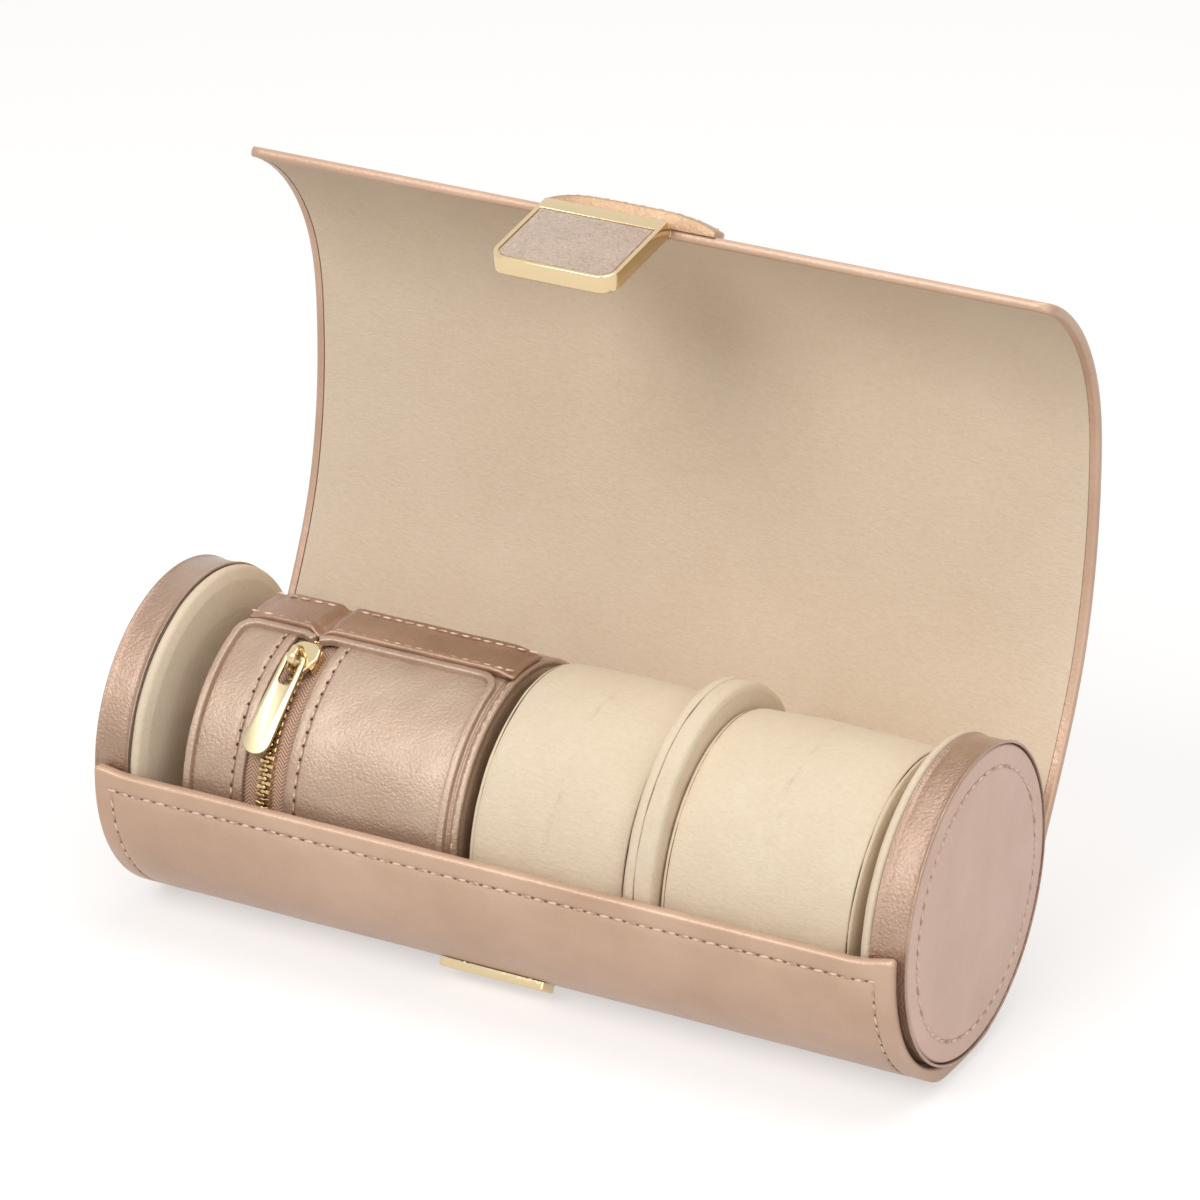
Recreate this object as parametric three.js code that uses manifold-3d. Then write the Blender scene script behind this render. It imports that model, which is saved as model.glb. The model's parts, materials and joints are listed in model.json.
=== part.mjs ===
// A cylindrical watch roll, open: a stiff leather wrap with a long curled flap, two round ends,
// two watch cushions on either side of a padded divider, a zipped jewellery pouch and a metal clasp.
// Units are millimetres. X runs along the roll, +Y to the back where the flap stands, +Z up.
// The origin is the middle of the flat underside, straight below the roll's axis.
import * as THREE from "three";
import { mergeVertices } from "three/addons/utils/BufferGeometryUtils.js";
import Module from "manifold-3d";

const wasm = await Module();
wasm.setup();

// Fits and fineness
const CLEARANCE = 0.3; // between pieces that touch
const OVERRUN = 2; // how far a cutting tool runs past the face it cuts
const ARC_STEP = 6; // degrees of arc between the points of a round outline
const ROUND_SEGMENTS = 48; // facets of the large round pieces
const SMALL_SEGMENTS = 16; // facets of pins and rivets

// The wrap: cover, board and lining, one inside the other
const ROLL_LENGTH = 203;
const SHELL_RADIUS = 40.65;
const COVER_THICKNESS = 0.9;
const BOARD_THICKNESS = 0.8;
const LINING_THICKNESS = 0.7;
const LIP_ANGLE = 4; // degrees above the horizontal at the front
const BACK_ANGLE = 9.6; // degrees below the horizontal at the back, where the flap bends
const LIP_HEM = 1.2; // depth of leather folded over the front edge
const END_RIM = 1.4; // width of leather folded over each end
const FLAT_HALF_WIDTH = 13; // the underside lies flat this far to each side
const FLAT_DEPTH = 0.8;

// The flap, a chain of stiff strips that bend at their inner face
const STRIP_CHORD = 21.7;
const STRIP_DIRECTIONS = [62, 65, 77, 86.5, 96.5, 119, 144]; // degrees from +Y towards +Z
const STRIP_BENDS = [6, 8, 10, 10, 15, 22, 24]; // degrees of curl within each strip
const FLAP_THICKNESS = 2.4;
const FLAP_LINING = 0.9;
const FLAP_RIM = 2.2; // leather border that the lining stops short of
const HINGE_RISE = 1.35; // inner face of the flap outside the wrap's lining

// Round ends
const END_INSET = 7.2; // inner edge of the leather band, inside the wrap's end
const END_PROUD = 1.75; // outer face, beyond the wrap's end
const BAND_THICKNESS = 0.8;
const OUTER_DISC_THICKNESS = 1.6;
const INNER_DISC_THICKNESS = 3;
const INNER_DISC_SETBACK = 0.55; // rim inside the band's

// What lies in the wrap, from left to right: named lengths share the room between the ends
const FINGER_GAP = 10.2;
const POUCH_LENGTH = 71.2;
const POUCH_GAP = 2.6;
const CUSHION_ONE_LENGTH = 40.4;
const DIVIDER_LEFT_GAP = 0.6;
const DIVIDER_NARROW = 2.2;
const DIVIDER_WIDE = 4.4;
const CUSHION_TWO_LENGTH = 47.2;
const RIGHT_GAP = 2.6;
const SEAT_GAP = 0.35; // under the cushions and the pouch

// Cushions
const CUSHION_CROWN = 0.8; // rise of the middle over the ends
const CUSHION_SHOULDER = 3; // rounding at each end
const CUSHION_COVER = 1.5;
const CUSHION_END_THICKNESS = 1.6;
const CUSHION_DROP = 2.7; // the cushion's axis below the roll's axis

// Pouch
const POUCH_DROP = 2.9;
const POUCH_WALL = 1.2;
const POUCH_LINING = 0.6;
const PIPING_RADIUS = 0.95;
const ZIP_FROM_END = 20.5; // middle of the zip, from the pouch's left end
const ZIP_OPENING = 11; // between the two leather edges
const TAPE_THICKNESS = 0.6;
const TAPE_LAP = 4; // tape hidden under each leather edge
const TAPE_EDGE_GAP = 0.5;
const TEETH_WIDTH = 2.6;
const TEETH_HEIGHT = 1.2;
const TEETH_COUNT = 64;
const TEETH_RELIEF = 0.5;
const SPINE_ANGLE = 91.5; // degrees round the pouch from the front horizontal
const SPINE_HALF_ANGLE = 12;
const SPINE_THICKNESS = 2.1;
const SPINE_END_GAP = 2;
const SPINE_CREASE = 2.4; // width of the thin hinge line
const SPINE_CREASE_DEPTH = 1.2;

// Zip slider and pull
const SLIDER_ANGLE = 66; // degrees above the horizontal at the front, about the pouch's axis
const SLIDER_LENGTH = 9;
const SLIDER_WIDTH = 7.6;
const SLIDER_PLATE = 1.3;
const BAIL_HEIGHT = 4.6;
const BAIL_LENGTH = 5;
const BAIL_OFFSET = 2; // the bail's middle, down the zip from the slider's
const BAIL_THICKNESS = 1.9;
const BAIL_WALL = 0.9;
const PULL_LENGTH = 25;
const PULL_THICKNESS = 1;
const PULL_TOP_WIDTH = 5.6;
const PULL_END_WIDTH = 7.4;
const PULL_SLOT_WIDTH = 3.2;
const PULL_SLOT_LENGTH = 6.4;
const PULL_BAR = 1.1;
const PULL_TURN = -7; // degrees that the pull hangs aside, towards the left end
const PULL_LEAN = 24.5; // degrees that the pull lies inward of the slider's own slope

// Clasp on the flap's free edge
const CLASP_CENTRE = -6;
const CLASP_WIDTH = 31;
const CLASP_START = 0.3; // the plate begins this far in front of the pin
const CLASP_LENGTH = 28;
const CLASP_DIRECTION = 188; // degrees from +Y towards +Z
const CLASP_WALL = 1.2;
const CLASP_TOP = 3.5; // outer face above the pin's axis
const CLASP_PLATE = 1.3;
const CLASP_SKIRT = 0.9; // lower edge below the pin's axis
const CLASP_CORNER = 4;
const CLASP_BAR = 4.4; // plain metal bar behind the inlay
const INLAY_BORDER = 1.1;
const INLAY_DEPTH = 0.6;
const KNUCKLE_RADIUS = 1.6;
const KNUCKLE_WIDTH = 16;
const PIN_RADIUS = 0.8;
const HINGE_BORE = 1.1;
const BRACKET_LENGTH = 11;
const BRACKET_THICKNESS = 0.6;
const BRACKET_WIDTH = 22;
const TAB_CENTRE = -2;
const TAB_HALF_WIDTH = 21.5;
const TAB_LENGTH = 17;
const TAB_THICKNESS = 1;
const TAB_SETBACK = 1;
const MAGNET_LENGTH = 7;
const MAGNET_WIDTH = 18;
const MAGNET_THICKNESS = 0.7;
const MAGNET_START = 14.5;

// Catch plate on the wrap
const CATCH_WIDTH = 27;
const CATCH_LENGTH = 6.9;
const CATCH_THICKNESS = 1.9;
const RIVET_RADIUS = 0.9;
const RIVET_HEAD = 1.9;
const RIVET_HEAD_THICKNESS = 0.4;
const RIVET_SPACING = 17;
const RIVET_DEPTH = 1.2;

const AXIS_HEIGHT = SHELL_RADIUS - FLAT_DEPTH;
const BOARD_RADIUS = SHELL_RADIUS - COVER_THICKNESS - CLEARANCE;
// The wrap runs straight from its flat underside to where it turns round; the catch lies on that.
const FLAT_CORNER = Math.hypot(FLAT_HALF_WIDTH, AXIS_HEIGHT);
const FLAT_LEAN = Math.atan2(FLAT_HALF_WIDTH, AXIS_HEIGHT) + Math.acos(SHELL_RADIUS / FLAT_CORNER);
const CATCH_ANGLE = THREE.MathUtils.radToDeg(FLAT_LEAN) - 90;
const LINING_RADIUS = BOARD_RADIUS - BOARD_THICKNESS - CLEARANCE;
const INNER_RADIUS = LINING_RADIUS - LINING_THICKNESS;
const HALF_LENGTH = ROLL_LENGTH / 2;
const HINGE_RADIUS = INNER_RADIUS + HINGE_RISE;
const END_RADIUS = INNER_RADIUS - CLEARANCE;
const INNER_DISC_RADIUS = END_RADIUS - INNER_DISC_SETBACK;
const DIVIDER_RADIUS = END_RADIUS;
const CUSHION_RADIUS = INNER_RADIUS - CUSHION_DROP - SEAT_GAP;
const POUCH_RADIUS = INNER_RADIUS - POUCH_DROP - SEAT_GAP;

// The room between the two inner discs, and where each thing in it starts and ends
const ROOM_HALF = HALF_LENGTH - END_INSET - CLEARANCE - INNER_DISC_THICKNESS;
const GAPS = FINGER_GAP + POUCH_GAP + DIVIDER_LEFT_GAP + 2 * CLEARANCE + RIGHT_GAP;
const PADS = POUCH_LENGTH + CUSHION_ONE_LENGTH + CUSHION_TWO_LENGTH;
const SHARE = (2 * ROOM_HALF - GAPS - DIVIDER_NARROW - DIVIDER_WIDE) / PADS;
const POUCH_LEFT = FINGER_GAP - ROOM_HALF;
const POUCH_RIGHT = POUCH_LEFT + SHARE * POUCH_LENGTH;
const CUSHION_ONE_LEFT = POUCH_RIGHT + POUCH_GAP;
const CUSHION_ONE_RIGHT = CUSHION_ONE_LEFT + SHARE * CUSHION_ONE_LENGTH;
const DIVIDER_LEFT = CUSHION_ONE_RIGHT + DIVIDER_LEFT_GAP;
const CUSHION_TWO_RIGHT = ROOM_HALF - RIGHT_GAP;
const CUSHION_TWO_LEFT = CUSHION_TWO_RIGHT - SHARE * CUSHION_TWO_LENGTH;
const ZIP_CENTRE = POUCH_LEFT + SHARE * ZIP_FROM_END;

const finish = (color, roughness, metalness = 0) =>
  new THREE.MeshStandardMaterial({ color, roughness, metalness });
const leather = finish(0xcdaea0, 0.42, 0.25);
const suede = finish(0xcdbba2, 0.95);
const cream = finish(0xe8dac2, 0.95);
const gold = finish(0xd8c48c, 0.2, 1);
const steel = finish(0x9a9a98, 0.35, 1);
const board = finish(0xb9a88c, 0.9);
const foam = finish(0xe9e2cf, 1);
const tape = finish(0xb99a8e, 0.85);

const radians = THREE.MathUtils.degToRad;

// A direction in the YZ plane, as a 2D vector of its Y and Z.
function heading(degrees) {
  return new THREE.Vector2(Math.cos(radians(degrees)), Math.sin(radians(degrees)));
}

// The point at an angle round an X-directed axis, from the front horizontal up and over.
function around(degrees, radius, drop = 0) {
  const direction = heading(180 - degrees);
  return new THREE.Vector2(direction.x * radius, AXIS_HEIGHT - drop + direction.y * radius);
}

// The points of an arc about an X-directed axis, both ends included.
function arc(from, to, radius, drop = 0) {
  const count = Math.max(1, Math.ceil(Math.abs(to - from) / ARC_STEP));
  const points = [];
  for (let i = 0; i <= count; i += 1) {
    points.push(around(from + ((to - from) * i) / count, radius, drop));
  }
  return points;
}

// One closed body: vertices shared and empty triangles left out.
function clean(geometry) {
  geometry.deleteAttribute("normal");
  geometry.deleteAttribute("uv");
  const merged = mergeVertices(geometry, CLEARANCE / 1000);
  const source = merged.index.array;
  const kept = [];
  for (let i = 0; i < source.length; i += 3) {
    const [a, b, c] = [source[i], source[i + 1], source[i + 2]];
    if (a !== b && b !== c && c !== a) {
      kept.push(a, b, c);
    }
  }
  merged.setIndex(kept);
  return merged;
}

// An outline in the YZ plane, drawn out along X.
function alongX(outline, from, to) {
  const geometry = new THREE.ExtrudeGeometry(new THREE.Shape(outline), {
    depth: to - from,
    bevelEnabled: false,
  });
  geometry.translate(0, 0, from);
  const frame = new THREE.Matrix4().makeBasis(
    new THREE.Vector3(0, 1, 0),
    new THREE.Vector3(0, 0, 1),
    new THREE.Vector3(1, 0, 0),
  );
  return clean(geometry.applyMatrix4(frame));
}

// A profile of [X, radius] points turned about an X-directed axis below the roll's own by a drop.
function turned(profile, drop = 0, segments = ROUND_SEGMENTS) {
  const points = profile.map(([x, radius]) => new THREE.Vector2(radius, x));
  if (THREE.ShapeUtils.area(points) < 0) {
    points.reverse();
  }
  const geometry = new THREE.LatheGeometry(points, segments);
  const frame = new THREE.Matrix4().makeBasis(
    new THREE.Vector3(0, 1, 0),
    new THREE.Vector3(1, 0, 0),
    new THREE.Vector3(0, 0, -1),
  );
  return clean(geometry.applyMatrix4(frame).translate(0, 0, AXIS_HEIGHT - drop));
}

// Booleans between closed geometries.
function solid(geometry) {
  return new wasm.Manifold(new wasm.Mesh({
    numProp: 3,
    vertProperties: new Float32Array(geometry.attributes.position.array),
    triVerts: new Uint32Array(geometry.index.array),
  }));
}

function geometryOf(body) {
  const mesh = body.getMesh();
  const geometry = new THREE.BufferGeometry();
  geometry.setAttribute("position", new THREE.BufferAttribute(mesh.vertProperties, 3));
  geometry.setIndex(new THREE.BufferAttribute(mesh.triVerts, 1));
  return geometry;
}

function cut(geometry, ...tools) {
  return geometryOf(tools.reduce((body, tool) => body.subtract(solid(tool)), solid(geometry)));
}

function join(geometry, ...others) {
  return geometryOf(others.reduce((body, other) => body.add(solid(other)), solid(geometry)));
}

const roll = new THREE.Group();

function add(name, geometry, material) {
  geometry.computeVertexNormals();
  const mesh = new THREE.Mesh(geometry, material);
  mesh.name = name;
  roll.add(mesh);
  return mesh;
}

// The wrap's outline from the lip, under the roll and up the back, with its flat underside.
function coverOutside(backAngle) {
  return [
    ...arc(LIP_ANGLE, CATCH_ANGLE, SHELL_RADIUS),
    new THREE.Vector2(-FLAT_HALF_WIDTH, 0),
    new THREE.Vector2(FLAT_HALF_WIDTH, 0),
    ...arc(-180 - CATCH_ANGLE, backAngle, SHELL_RADIUS),
  ];
}

// Degrees that a length spans on a circle.
function span(length, radius) {
  return THREE.MathUtils.radToDeg(length / radius);
}

// Flap strips: where each starts, and the skewed ends that let neighbours bend freely.
const shellTangent = 90 - BACK_ANGLE;
const stripStarts = [around(180 + BACK_ANGLE, HINGE_RADIUS)];
STRIP_DIRECTIONS.forEach((direction, i) => {
  stripStarts.push(stripStarts[i].clone().addScaledVector(heading(direction), STRIP_CHORD));
});

function kinkBefore(index) {
  const before = index === 0
    ? shellTangent
    : STRIP_DIRECTIONS[index - 1] + STRIP_BENDS[index - 1] / 2;
  return STRIP_DIRECTIONS[index] - STRIP_BENDS[index] / 2 - before;
}

function skew(index) {
  const kink = index < STRIP_DIRECTIONS.length ? kinkBefore(index) : 0;
  return Math.tan(radians(Math.max(0, -kink) / 2));
}

function stripOutline(index, inner, outer, startInset = 0, endInset = 0) {
  const bend = STRIP_BENDS[index];
  const direction = STRIP_DIRECTIONS[index];
  const radius = STRIP_CHORD / (2 * Math.sin(radians(bend / 2)));
  const middle = stripStarts[index].clone().add(stripStarts[index + 1]).multiplyScalar(0.5);
  const centre = middle.addScaledVector(heading(direction + 90), radius * Math.cos(radians(bend / 2)));
  const side = (offset) => {
    const reach = radius + offset;
    const from = direction - bend / 2
      + span(CLEARANCE / 2 + startInset + offset * skew(index), reach);
    const to = direction + bend / 2
      - span(CLEARANCE / 2 + endInset + offset * skew(index + 1), reach);
    const count = Math.max(2, Math.ceil((to - from) / (ARC_STEP / 2)));
    const points = [];
    for (let i = 0; i <= count; i += 1) {
      const tangent = from + ((to - from) * i) / count;
      points.push(centre.clone().addScaledVector(heading(tangent - 90), reach));
    }
    return points;
  };
  return [...side(inner), ...side(outer).reverse()];
}

// Wrap
function buildWrap() {
  const coverInner = SHELL_RADIUS - COVER_THICKNESS;
  const back = -180 + BACK_ANGLE;
  const outerSkew = span((SHELL_RADIUS - HINGE_RADIUS) * skew(0) + CLEARANCE / 2, SHELL_RADIUS);
  const innerEnd = back + span(CLEARANCE / 2, coverInner);
  const hem = LIP_ANGLE - span(LIP_HEM, SHELL_RADIUS);
  const rivetReach = SHELL_RADIUS + CATCH_THICKNESS;
  const bore = (radius, low, high, offset) => rivetCylinder(radius, low, high, offset);
  const cover = alongX([
    ...coverOutside(back + outerSkew),
    ...arc(innerEnd, hem, coverInner),
    around(hem, INNER_RADIUS),
    around(LIP_ANGLE, INNER_RADIUS),
  ], -HALF_LENGTH, HALF_LENGTH);
  const rimOutline = [
    ...arc(LIP_ANGLE - span(LIP_HEM / 2, SHELL_RADIUS), innerEnd, coverInner + COVER_THICKNESS / 2),
    ...arc(innerEnd, LIP_ANGLE - span(LIP_HEM / 2, SHELL_RADIUS), INNER_RADIUS),
  ];
  const leftRim = alongX(rimOutline, -HALF_LENGTH, -HALF_LENGTH + END_RIM);
  const rightRim = alongX(rimOutline, HALF_LENGTH - END_RIM, HALF_LENGTH);
  const holes = [-1, 1].map((side) =>
    bore(RIVET_RADIUS + CLEARANCE, INNER_RADIUS, rivetReach, side * RIVET_SPACING / 2));
  add("shell_cover", cut(join(cover, leftRim, rightRim), ...holes), leather);

  const inside = HALF_LENGTH - END_RIM - CLEARANCE;
  const layer = (outer, thickness) => {
    const top = hem - span(CLEARANCE, outer);
    const end = back + span(CLEARANCE / 2, outer);
    return alongX([...arc(top, end, outer), ...arc(end, top, outer - thickness)], -inside, inside);
  };
  const pockets = [-1, 1].map((side) => bore(
    RIVET_HEAD + CLEARANCE,
    BOARD_RADIUS - BOARD_THICKNESS - OVERRUN,
    BOARD_RADIUS - BOARD_THICKNESS + RIVET_HEAD_THICKNESS + CLEARANCE / 2,
    side * RIVET_SPACING / 2,
  ));
  add("shell_board", cut(layer(BOARD_RADIUS, BOARD_THICKNESS), ...holes, ...pockets), board);
  add("shell_lining", layer(LINING_RADIUS, LINING_THICKNESS), suede);
}

// A cylinder square to the wrap at the catch, between two radii.
function rivetCylinder(radius, low, high, offset, segments = SMALL_SEGMENTS) {
  const geometry = new THREE.CylinderGeometry(radius, radius, high - low, segments);
  geometry.translate(0, (high + low) / 2, 0);
  return placeAtCatch(geometry, offset);
}

// Turns local +Y to the outward direction at the catch and moves to the clasp's middle.
function placeAtCatch(geometry, offset) {
  const outward = heading(180 - CATCH_ANGLE);
  const along = new THREE.Vector3(0, outward.y, -outward.x);
  const frame = new THREE.Matrix4().makeBasis(
    new THREE.Vector3(1, 0, 0),
    new THREE.Vector3(0, outward.x, outward.y),
    new THREE.Vector3(1, 0, 0).cross(new THREE.Vector3(0, outward.x, outward.y)),
  );
  frame.setPosition(CLASP_CENTRE + offset, 0, AXIS_HEIGHT);
  along.normalize();
  return clean(geometry.applyMatrix4(frame));
}

function buildFlap() {
  const half = HALF_LENGTH;
  const lined = half - FLAP_RIM;
  const coverStart = FLAP_LINING + CLEARANCE;
  STRIP_DIRECTIONS.forEach((direction, i) => {
    const last = i === STRIP_DIRECTIONS.length - 1;
    const whole = alongX(stripOutline(i, 0, FLAP_THICKNESS), -half, half);
    const reach = last ? FLAP_RIM : -OVERRUN;
    const pocket = alongX(stripOutline(i, -OVERRUN, coverStart, -OVERRUN, reach), -lined, lined);
    add(`flap_cover_${i + 1}`, cut(whole, pocket), leather);
    const edge = last ? FLAP_RIM + CLEARANCE : 0;
    const inset = lined - CLEARANCE;
    add(`flap_lining_${i + 1}`, alongX(stripOutline(i, 0, FLAP_LINING, 0, edge), -inset, inset), suede);
  });
}

// A round end, drawn for the right and mirrored for the left.
function buildEnd(side, name) {
  const place = (profile) => turned(profile.map(([x, radius]) => [side * x, radius]));
  const inner = HALF_LENGTH - END_INSET;
  const outer = HALF_LENGTH + END_PROUD;
  const bandInner = END_RADIUS - BAND_THICKNESS;
  add(`${name}_end_band`, place([
    [inner, bandInner],
    [outer, bandInner],
    [outer, END_RADIUS],
    [inner, END_RADIUS],
    [inner, bandInner],
  ]), leather);
  const coreRadius = bandInner - CLEARANCE;
  const coreOuter = outer - OUTER_DISC_THICKNESS - CLEARANCE;
  const disc = (from, to, radius) => place([[from, 0], [from, radius], [to, radius], [to, 0]]);
  add(`${name}_end_core`, disc(inner, coreOuter, coreRadius), board);
  add(`${name}_end_outer_disc`, disc(coreOuter + CLEARANCE, outer, coreRadius), leather);
  const suedeOuter = inner - CLEARANCE;
  const edge = INNER_DISC_THICKNESS / 4;
  add(`${name}_end_inner_disc`, place([
    [suedeOuter - INNER_DISC_THICKNESS, 0],
    [suedeOuter - INNER_DISC_THICKNESS, INNER_DISC_RADIUS - edge],
    [suedeOuter - INNER_DISC_THICKNESS + edge, INNER_DISC_RADIUS],
    [suedeOuter, INNER_DISC_RADIUS],
    [suedeOuter, 0],
  ]), cream);
}

// A cushion: a foam core in a crowned cover, closed by a rounded disc at each end.
function buildCushion(left, right, name) {
  const middle = (left + right) / 2;
  const half = (right - left) / 2;
  const coverHalf = half - CUSHION_END_THICKNESS;
  const base = CUSHION_RADIUS - CUSHION_CROWN;
  const inner = base - CUSHION_COVER;
  const crownSteps = 6;
  const profile = [];
  for (let i = 0; i <= crownSteps; i += 1) {
    const along = (2 * i) / crownSteps - 1;
    profile.push([middle + along * coverHalf, base + CUSHION_CROWN * (1 - along ** 4)]);
  }
  const drop = CUSHION_DROP;
  add(`${name}_cover`, turned([
    ...profile,
    [middle + coverHalf, inner],
    [middle - coverHalf, inner],
    [middle - coverHalf, base],
  ], drop), cream);
  const endStart = coverHalf + CLEARANCE;
  const round = [];
  const roundSteps = 4;
  for (let i = 0; i <= roundSteps; i += 1) {
    const angle = (Math.PI / 2) * (i / roundSteps);
    round.push([
      endStart + Math.sin(angle) * (half - endStart),
      base - CUSHION_SHOULDER * (1 - Math.cos(angle)),
    ]);
  }
  const endProfile = [[endStart, 0], ...round, [half, 0]];
  add(`${name}_right_end`, turned(endProfile.map(([x, r]) => [middle + x, r]), drop), cream);
  add(`${name}_left_end`, turned(endProfile.map(([x, r]) => [middle - x, r]), drop), cream);
  const coreRadius = inner - CLEARANCE;
  add(`${name}_foam`, turned([
    [middle + coverHalf, 0],
    [middle + coverHalf, coreRadius],
    [middle - coverHalf, coreRadius],
    [middle - coverHalf, 0],
  ], drop), foam);
}

// Two padded discs sewn back to back, each with a rounded rim.
function buildDivider() {
  const disc = (name, from, width, openLeft) => {
    const corner = width / 2;
    const steps = 4;
    const rim = [];
    for (let i = 0; i <= steps; i += 1) {
      const angle = (Math.PI / 2) * (i / steps);
      rim.push([Math.sin(angle) * corner, DIVIDER_RADIUS - corner * (1 - Math.cos(angle))]);
    }
    const start = openLeft ? from + width - corner : from + corner;
    const sign = openLeft ? 1 : -1;
    const flat = openLeft ? from : from + width;
    const profile = [
      [flat, 0],
      [flat, DIVIDER_RADIUS],
      ...rim.map(([x, r]) => [start + sign * x, r]),
      [start + sign * corner, 0],
    ];
    add(name, turned(profile), cream);
  };
  disc("divider_narrow_disc", DIVIDER_LEFT, DIVIDER_NARROW, false);
  disc("divider_wide_disc", DIVIDER_LEFT + DIVIDER_NARROW + CLEARANCE, DIVIDER_WIDE, true);
}

// Pouch: two leather cups joined by a spine, with a zip round the rest.
const zipLeft = ZIP_CENTRE - ZIP_OPENING / 2;
const zipRight = ZIP_CENTRE + ZIP_OPENING / 2;
const tapeOuter = POUCH_RADIUS - POUCH_WALL - CLEARANCE;
const pouchLiningOuter = tapeOuter - TAPE_THICKNESS - CLEARANCE;
const spineFrom = SPINE_ANGLE + SPINE_HALF_ANGLE;
const spineTo = SPINE_ANGLE - SPINE_HALF_ANGLE;

function buildPouchCup(mouth, closed, name) {
  const sign = Math.sign(closed - mouth);
  const step = 2 * PIPING_RADIUS + 2 * CLEARANCE;
  const stepRadius = POUCH_RADIUS - 2 * PIPING_RADIUS - CLEARANCE;
  const inner = POUCH_RADIUS - POUCH_WALL;
  const narrow = stepRadius - POUCH_WALL;
  add(`pouch_${name}_shell`, turned([
    [closed, 0],
    [closed, stepRadius],
    [closed - sign * step, stepRadius],
    [closed - sign * step, POUCH_RADIUS],
    [mouth, POUCH_RADIUS],
    [mouth, inner],
    [closed - sign * (step + POUCH_WALL), inner],
    [closed - sign * (step + POUCH_WALL), narrow],
    [closed - sign * POUCH_WALL, narrow],
    [closed - sign * POUCH_WALL, 0],
  ], POUCH_DROP), leather);

  const ring = [];
  const ringSides = 8;
  const ringRadius = stepRadius + CLEARANCE + PIPING_RADIUS;
  for (let i = 0; i <= ringSides; i += 1) {
    const angle = (2 * Math.PI * i) / ringSides;
    ring.push([
      closed - sign * (PIPING_RADIUS + CLEARANCE / 2) + PIPING_RADIUS * Math.sin(angle),
      ringRadius + PIPING_RADIUS * Math.cos(angle),
    ]);
  }
  add(`pouch_${name}_piping`, turned(ring, POUCH_DROP), leather);

  const floor = closed - sign * (POUCH_WALL + CLEARANCE);
  const liningInner = narrow - CLEARANCE - POUCH_LINING;
  add(`pouch_${name}_lining`, turned([
    [floor, 0],
    [floor, narrow - CLEARANCE],
    [mouth, narrow - CLEARANCE],
    [mouth, liningInner],
    [floor - sign * POUCH_LINING, liningInner],
    [floor - sign * POUCH_LINING, 0],
  ], POUCH_DROP), cream);
}

// Half of the zip: a band of tape and the toothed chain on it, both open at the spine.
function buildZipHalf(sign, name) {
  const near = ZIP_CENTRE + sign * TAPE_EDGE_GAP;
  const far = ZIP_CENTRE + sign * (ZIP_OPENING / 2 + TAPE_LAP);
  const [low, high] = [Math.min(near, far), Math.max(near, far)];
  const end = spineTo;
  const start = spineFrom - 360;
  add(`zip_tape_${name}`, alongX([
    ...arc(start, end, tapeOuter, POUCH_DROP),
    ...arc(end, start, tapeOuter - TAPE_THICKNESS, POUCH_DROP),
  ], low, high), tape);

  const teeth = [];
  const base = tapeOuter + CLEARANCE;
  const relief = base + TEETH_HEIGHT - TEETH_RELIEF;
  const pitch = (end - start) / TEETH_COUNT;
  for (let i = 0; i < TEETH_COUNT; i += 1) {
    const from = start + i * pitch + (sign > 0 ? pitch / 2 : 0);
    teeth.push(around(from, base + TEETH_HEIGHT, POUCH_DROP));
    teeth.push(around(from + pitch / 3, base + TEETH_HEIGHT, POUCH_DROP));
    teeth.push(around(from + pitch / 2, relief, POUCH_DROP));
    teeth.push(around(from + (5 * pitch) / 6, relief, POUCH_DROP));
  }
  const chainEnd = start + TEETH_COUNT * pitch;
  const chainNear = ZIP_CENTRE + sign * CLEARANCE / 2;
  const chainFar = chainNear + sign * TEETH_WIDTH;
  add(`zip_teeth_${name}`, alongX([
    ...teeth,
    ...arc(chainEnd, start, base, POUCH_DROP),
  ], Math.min(chainNear, chainFar), Math.max(chainNear, chainFar)), gold);
}

function buildSpine() {
  const inner = POUCH_RADIUS + CLEARANCE;
  const outer = inner + SPINE_THICKNESS;
  const strip = alongX([
    ...arc(spineTo, spineFrom, inner, POUCH_DROP),
    ...arc(spineFrom, spineTo, outer, POUCH_DROP),
  ], POUCH_LEFT + SPINE_END_GAP, POUCH_RIGHT - SPINE_END_GAP);
  const crease = alongX([
    ...arc(spineTo - ARC_STEP, spineFrom + ARC_STEP, outer - SPINE_CREASE_DEPTH, POUCH_DROP),
    ...arc(spineFrom + ARC_STEP, spineTo - ARC_STEP, outer + OVERRUN, POUCH_DROP),
  ], ZIP_CENTRE - SPINE_CREASE / 2, ZIP_CENTRE + SPINE_CREASE / 2);
  add("pouch_spine", cut(strip, crease), leather);
}

// Slider and pull are drawn in a frame whose first axis runs down the zip and second outward.
const sliderFoot = tapeOuter + CLEARANCE + TEETH_HEIGHT + CLEARANCE;
const sliderDown = heading(180 - SLIDER_ANGLE + 90);
const sliderOut = heading(180 - SLIDER_ANGLE);
const bailHole = sliderFoot + SLIDER_PLATE + (BAIL_HEIGHT - BAIL_WALL) / 2;

function onSlider(down, out) {
  return new THREE.Vector2(0, AXIS_HEIGHT - POUCH_DROP)
    .addScaledVector(sliderDown, down)
    .addScaledVector(sliderOut, out);
}

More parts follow.
